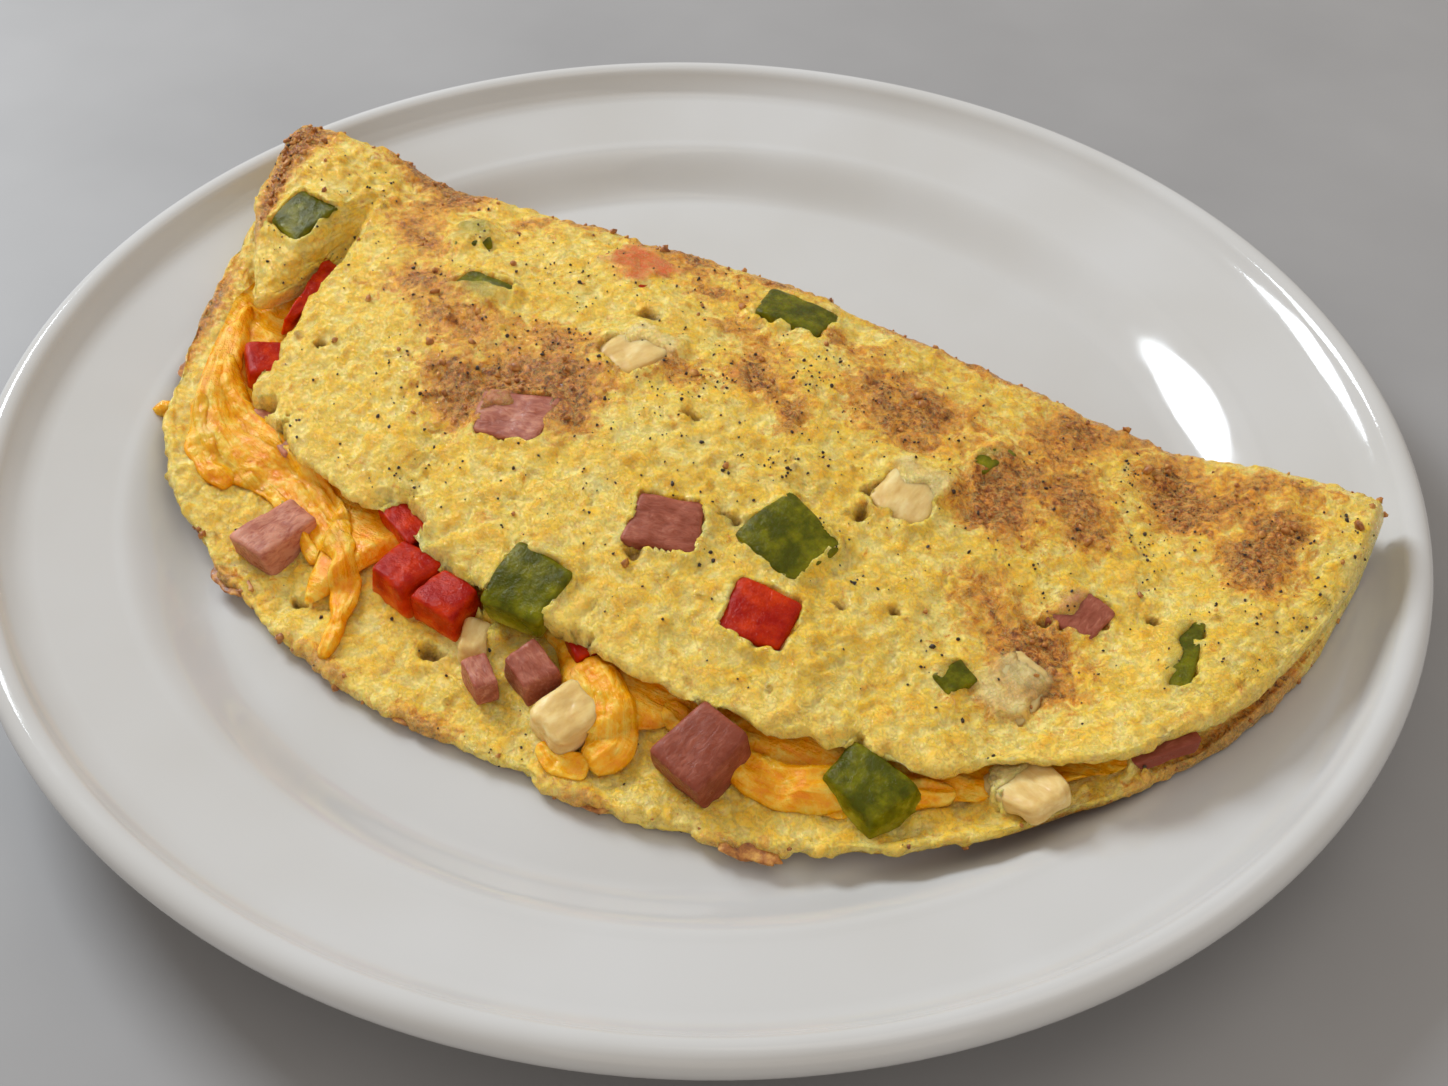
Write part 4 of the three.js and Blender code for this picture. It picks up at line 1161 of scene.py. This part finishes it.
def pepper(name, skin, flesh, pale):
    """Skin on top turning into flesh and then a pale edge below, each shifted a little by noise."""
    finish = food_finish(name, 0.3, IOR=1.45, Specular_IOR_Level=0.15)
    vein = finish.noise(3.4, detail=4, rough=0.6, place=finish.grain)
    depth = finish.calc("ADD", finish.read("depth"), finish.swing(vein, 5.0))
    share = finish.between(depth, -1.6, 2.0)
    finish.set("Base Color", finish.ramp(share, (0.05, pale), (0.45, flesh), (0.95, skin)))
    finish.gloss(1.5, 0.1, 0.32)
    finish.set("Normal", finish.bump(finish.noise(1.3, detail=5, rough=0.62, place=finish.grain), 0.45, 0.8))
    return finish


green_pepper = pepper("green_pepper", (74, 76, 2), (126, 122, 6), (176, 168, 44))
red_pepper = pepper("red_pepper", (160, 18, 1), (206, 56, 3), (230, 108, 26))

onion = food_finish("onion", 0.7, IOR=1.4, Specular_IOR_Level=0.3)
onion.shader.inputs["Subsurface Radius"].default_value = (1.0, 0.8, 0.5)
layers = onion.noise(2.2, detail=3, place=onion.scaled(onion.grain, (0.4, 1.0, 2.0)))
onion.set("Base Color", onion.ramp(layers, (0.3, (208, 170, 100)), (0.55, (226, 196, 130)),
                                   (0.75, (240, 220, 162))))
onion.gloss(1.2, 0.25, 0.45)
onion.set("Normal", onion.bump(layers, 0.35, 0.6))
FINISHES = {"ham": ham, "green": green_pepper, "red": red_pepper, "onion": onion}

for seed, (name, (centre, turn, half)) in enumerate(DICE.items(), 1):
    food = name.split("_")[0]
    power, bow, rough = FOODS[food]
    rough = rough * (3 if name in TAPERED else 1)
    local, unit = die(half, power, bow, rough, seed, taper=TAPERED.get(name, 0))
    chance = float(lattice_value(np.array([[seed, 7, 3]]), 5)[0]) - 0.5
    values = {"grain": (local + 9.0 * seed) * MM, "depth": unit[:, 2],
              "tone": np.full(len(local), TONES.get(name, chance))}
    make_piece(f"{name}_cut", local @ turn + centre, CUBE_FACES.tolist(), FINISHES[food].material,
               name.rsplit("_", 1)[0], [name], values)
print("dice made:", len(DICE))

# %% [markdown]
# ## What is strewn on top
# Ground black pepper, toasted crumbs on the fold and a few browned flakes at the edge are far too small
# for the CAD part, but they are real things with a real size, so they are mesh too. One low pebble
# shape is copied, squashed, turned and roughened for each grain, all in one array, and the grains of
# a kind are one joined mesh.

# %% Grains
def grain_shape(rows=3, sides=6):
    """A ball from a few rings and two poles: sines of the tilt out, its cosine up."""
    tilt = np.pi * np.arange(1, rows + 1)[:, None] / (rows + 1)
    turn = 2 * np.pi * np.arange(sides) / sides
    ring = in_space(np.sin(tilt) * np.cos(turn), np.sin(tilt) * np.sin(turn), np.cos(tilt))
    return close_ring(ring, [[0, 0, 1], [0, 0, -1]])


def strewn(places, sizes, seed, flat=0.7, sunk=0.25, rough=0.3):
    """Every grain is the ball, randomly turned, scaled and roughened, then moved to its place."""
    random = np.random.default_rng(seed)
    shape, faces = grain_shape()
    count = len(places)
    quaternion = random.normal(size=(count, 4))
    w, x, y, z = (quaternion / np.linalg.norm(quaternion, axis=1, keepdims=True)).T
    turns = np.stack([1 - 2 * (y * y + z * z), 2 * (x * y - z * w), 2 * (x * z + y * w),
                      2 * (x * y + z * w), 1 - 2 * (x * x + z * z), 2 * (y * z - x * w),
                      2 * (x * z - y * w), 2 * (y * z + x * w), 1 - 2 * (x * x + y * y)], -1)
    stretch = np.c_[random.uniform(0.75, 1.3, (count, 2)), np.full(count, flat)]
    jitter = 1 + rough * random.uniform(-1, 1, (count, len(shape), 1))
    shapes = shape[None] * jitter * stretch[:, None]
    grains = np.einsum("nij,nkj->nki", turns.reshape(-1, 3, 3), shapes) * sizes[:, None, None] / 2
    raised = np.array([0, 0, 1]) * (sizes * (0.5 - sunk))[:, None, None]
    return joined([(grain, faces) for grain in grains + places[:, None] + raised])


print("points on a grain:", len(grain_shape()[0]))

# %% [markdown]
# Pepper falls where the mill was held. The grains could be scattered by a particle system, but an
# export drops those. Here places are drawn from the points of the skin, and a weight makes some
# places likelier: the middle of the flap, and small clusters.

# %% Ground pepper
def pick(grid, columns, weight, count, seed):
    """Places on a skin drawn by a weight on its points, in the chosen columns."""
    random = np.random.default_rng(seed)
    points = grid[:, columns].reshape(-1, 3)
    share = weight(points).ravel()
    chosen = random.choice(len(points), count, replace=False, p=share / share.sum())
    return points[chosen], random


def peppered(points):
    """Thickest in the middle of the flap, thinner towards the ends and the front."""
    middle = np.exp(-((points[:, 0] - 2) / 48) ** 2 - ((points[:, 1] + 8) / 26) ** 2)
    right = 0.6 * np.exp(-((points[:, 0] - 78) / 22) ** 2 - ((points[:, 1] - 12) / 18) ** 2)
    cluster = np.clip(0.25 + 1.2 * layered_noise(points, 7, 111, 2), 0, 2) ** 2
    return (0.12 + middle + right) * (0.3 + cluster)


TOP_GRAINS, FRONT_GRAINS = 900, 90
top_columns = np.flatnonzero(flap_names == "over")
bed_columns = np.flatnonzero(np.isin(bed_names, ("bed", "front")))
places, random = pick(flap, top_columns, peppered, TOP_GRAINS, 201)
more, _ = pick(bed, bed_columns, lambda p: np.exp(-(p[:, 0] / 60) ** 2), FRONT_GRAINS, 202)
places = np.concatenate([places, more])
sizes = np.clip(random.lognormal(-1.02, 0.36, len(places)), 0.22, 0.8)
pepper_points, pepper_faces = strewn(places, sizes, 203)
pepper_black = Finish("black_pepper", Roughness=0.6)
speck = pepper_black.noise(0.4, detail=2)
pepper_black.set("Base Color", pepper_black.ramp(speck, (0.4, (26, 18, 14)), (0.7, (78, 52, 34))))
pepper_black.set("Normal", pepper_black.bump(speck, 0.1, 0.6))
make_piece("pepper_grains", pepper_points, pepper_faces, pepper_black.material, "egg", smooth=False)
print("pepper grains:", len(places))

# %% [markdown]
# The crumbs are bits of egg that stuck to the pan and toasted. They sit thickest along the fold, which
# lay against the pan, so they also break up its outline.

# %% Toasted crumbs
crust_finish = Finish("toasted_egg", Subsurface_Weight=0.1, Subsurface_Scale=0.001)
crust_mottle = crust_finish.noise(1.4, detail=4, rough=0.65)
crust_finish.set("Base Color", crust_finish.ramp(crust_mottle, (0.32, (122, 66, 24)), (0.5, (178, 112, 46)),
                                                 (0.7, (226, 172, 84))))
crust_finish.set("Roughness", crust_finish.between(crust_mottle, 0.3, 0.7, 0.35, 0.6))
crust_finish.set("Normal", crust_finish.bump(crust_finish.noise(0.6, detail=3), 0.25, 0.7))


def toasted_weight(points):
    """A few everywhere, and many more where the top is browned."""
    return 0.12 + np.clip(sum(spot[5] * ellipse(points, spot) for spot in BROWNED_TOP), 0, 1) ** 2


fold_columns = np.flatnonzero(flap_names == "fold")[:14]
fold_places, random = pick(flap, fold_columns, toasted_weight, 110, 211)
top_places, _ = pick(flap, top_columns, lambda p: toasted_weight(p) ** 2, 150, 212)
edge_places, _ = pick(bed, np.flatnonzero(bed_names == "front"), lambda p: 0.1 + 0 * p[:, 0], 40, 213)
places = np.concatenate([fold_places, top_places, edge_places])
sizes = np.clip(random.lognormal(-0.1, 0.35, len(places)), 0.5, 1.9)
crumb_points, crumb_faces = strewn(places, sizes, 214, flat=0.75, sunk=0.4, rough=0.35)
make_piece("toasted_crumbs", crumb_points, crumb_faces, crust_finish.material, "egg")
print("crumbs:", len(places))

# %% [markdown]
# A flake is a torn scrap of browned egg at the rim of the omelette: the shape of a die again, but thin,
# ragged and curled. A small drop of cheese has run down onto the plate's wall, at its left.

# %% Flakes and the drop on the plate
FLAKES = [  # x, y, length, width, thickness, turn, tip up
    (-95.6, -14.5, 9, 3.0, 1.0, 106, 26), (-53, -63.2, 7.5, 4.0, 1.0, -24, 12),
    (-10, -71, 7, 3.6, 1.0, 6, 10), (-90, -30, 5, 2.2, 0.9, 112, 14), (45, -68.3, 9, 2.6, 0.9, 14, 6),
    (20.5, -72, 5, 2.2, 0.9, 4, 6), (-30, -69.6, 5, 2.2, 0.9, -14, 8),
]


def flake(x, y, length, width, thick, degrees, tip, seed):
    """A flat die, made ragged in plan, wavy and curled up by a square law, then turned and tipped."""
    local, _ = die(np.array([length, width, thick]) / 2, 4, 0.0, 0.0, seed, 0.25)
    own = local + 31 * seed
    ragged = 1 + 0.34 * soft_noise(own, 2.2, 121) + 0.2 * soft_noise(own, 0.9, 123)
    local = local * ragged[:, None] * [1, 1, 0] + local * [0, 0, 1]
    local[:, 2] += 0.5 * soft_noise(local * [1, 1, 0] + 17 * seed, 3.0, 122) + 0.02 * local[:, 0] ** 2
    turn, lean = math.radians(degrees), math.radians(tip)
    rotate = np.array(Matrix.Rotation(turn, 3, "Z") @ Matrix.Rotation(lean, 3, "X"))
    height = float(rest_height(np.array(x), np.array(FOLD_Y - y))) + 1.0
    return local @ rotate.T + [x, y, height], CUBE_FACES.tolist()


flake_points, flake_faces = joined([flake(*row, 400 + k) for k, row in enumerate(FLAKES)])
make_piece("browned_flakes", flake_points, flake_faces, crust_finish.material, "egg")
DROP_PLACE, DROP_SIZE = (-87.2, -38.9), 4.0
drop = np.array([*DROP_PLACE, float(plate_top(np.hypot(*DROP_PLACE)))])
drops = np.array([drop, drop + [1.3, -0.5, -0.2]])
drop_points, drop_faces = strewn(drops, DROP_SIZE * np.array([1, 0.7]), 221, flat=0.8, sunk=0.3, rough=0.04)
make_piece("cheese_drop", drop_points, drop_faces, melted.material, "cheese",
           values={"run": drop_points * MM})
print("flakes:", len(FLAKES))

# %% [markdown]
# ## Floor and light
# The plate stands on a plain pale floor. One small cool window at the left and behind gives the light
# its direction and puts the two glints on the plate's far wall. A bare lamp would cut hard shadows, so
# a wide soft lamp high up and a wider one in front fill them, and a warm sky keeps them open.

# %% Stage
FLOOR_HALF = 4       # metres
floor_mesh = bpy.data.meshes.new("floor")
corners = [(x * FLOOR_HALF, y * FLOOR_HALF, 0) for x, y in ((-1, -1), (1, -1), (1, 1), (-1, 1))]
floor_mesh.from_pydata(corners, [], [(0, 1, 2, 3)])
floor = bpy.data.objects.new("floor", floor_mesh)
bpy.context.scene.collection.objects.link(floor)
table = Finish("pale_table", Roughness=0.55)
table.set("Base Color", table.ramp(table.noise(60), (0.3, (146, 145, 146)), (0.7, (154, 153, 154))))
floor_mesh.materials.append(table.material)


def window(name, place, size, energy, colour):
    """A soft rectangular light, turned so that it faces the plate."""
    light = bpy.data.lights.new(name, "AREA")
    light.shape, light.size, light.size_y = "RECTANGLE", *size
    light.energy, light.color = energy, colour
    lamp = bpy.data.objects.new(name, light)
    aim = (Vector(place) - Vector((0, 0, 0.01))).to_track_quat("Z", "Y")
    lamp.matrix_world = Matrix.Translation(Vector(place)) @ aim.to_matrix().to_4x4()
    bpy.context.scene.collection.objects.link(lamp)
    return lamp


WARM, COOL = (1.0, 0.95, 0.88), (0.87, 0.94, 1.0)
window("left_window", (-0.88, 0.25, 0.68), (0.42, 0.36), 10.5, COOL)
window("high_lamp", (0.25, 0.35, 1.15), (0.7, 0.7), 1.2, WARM)
window("front_fill", (0.55, -0.75, 0.45), (0.9, 0.6), 1.0, WARM)
world = bpy.data.worlds.new("sky")
bpy.context.scene.world = world
world.use_nodes = True
sky = world.node_tree.nodes["Background"].inputs
sky["Color"].default_value = (1.0, 0.93, 0.85, 1)
sky["Strength"].default_value = 0.56
bpy.context.scene.view_settings.view_transform = "Standard"
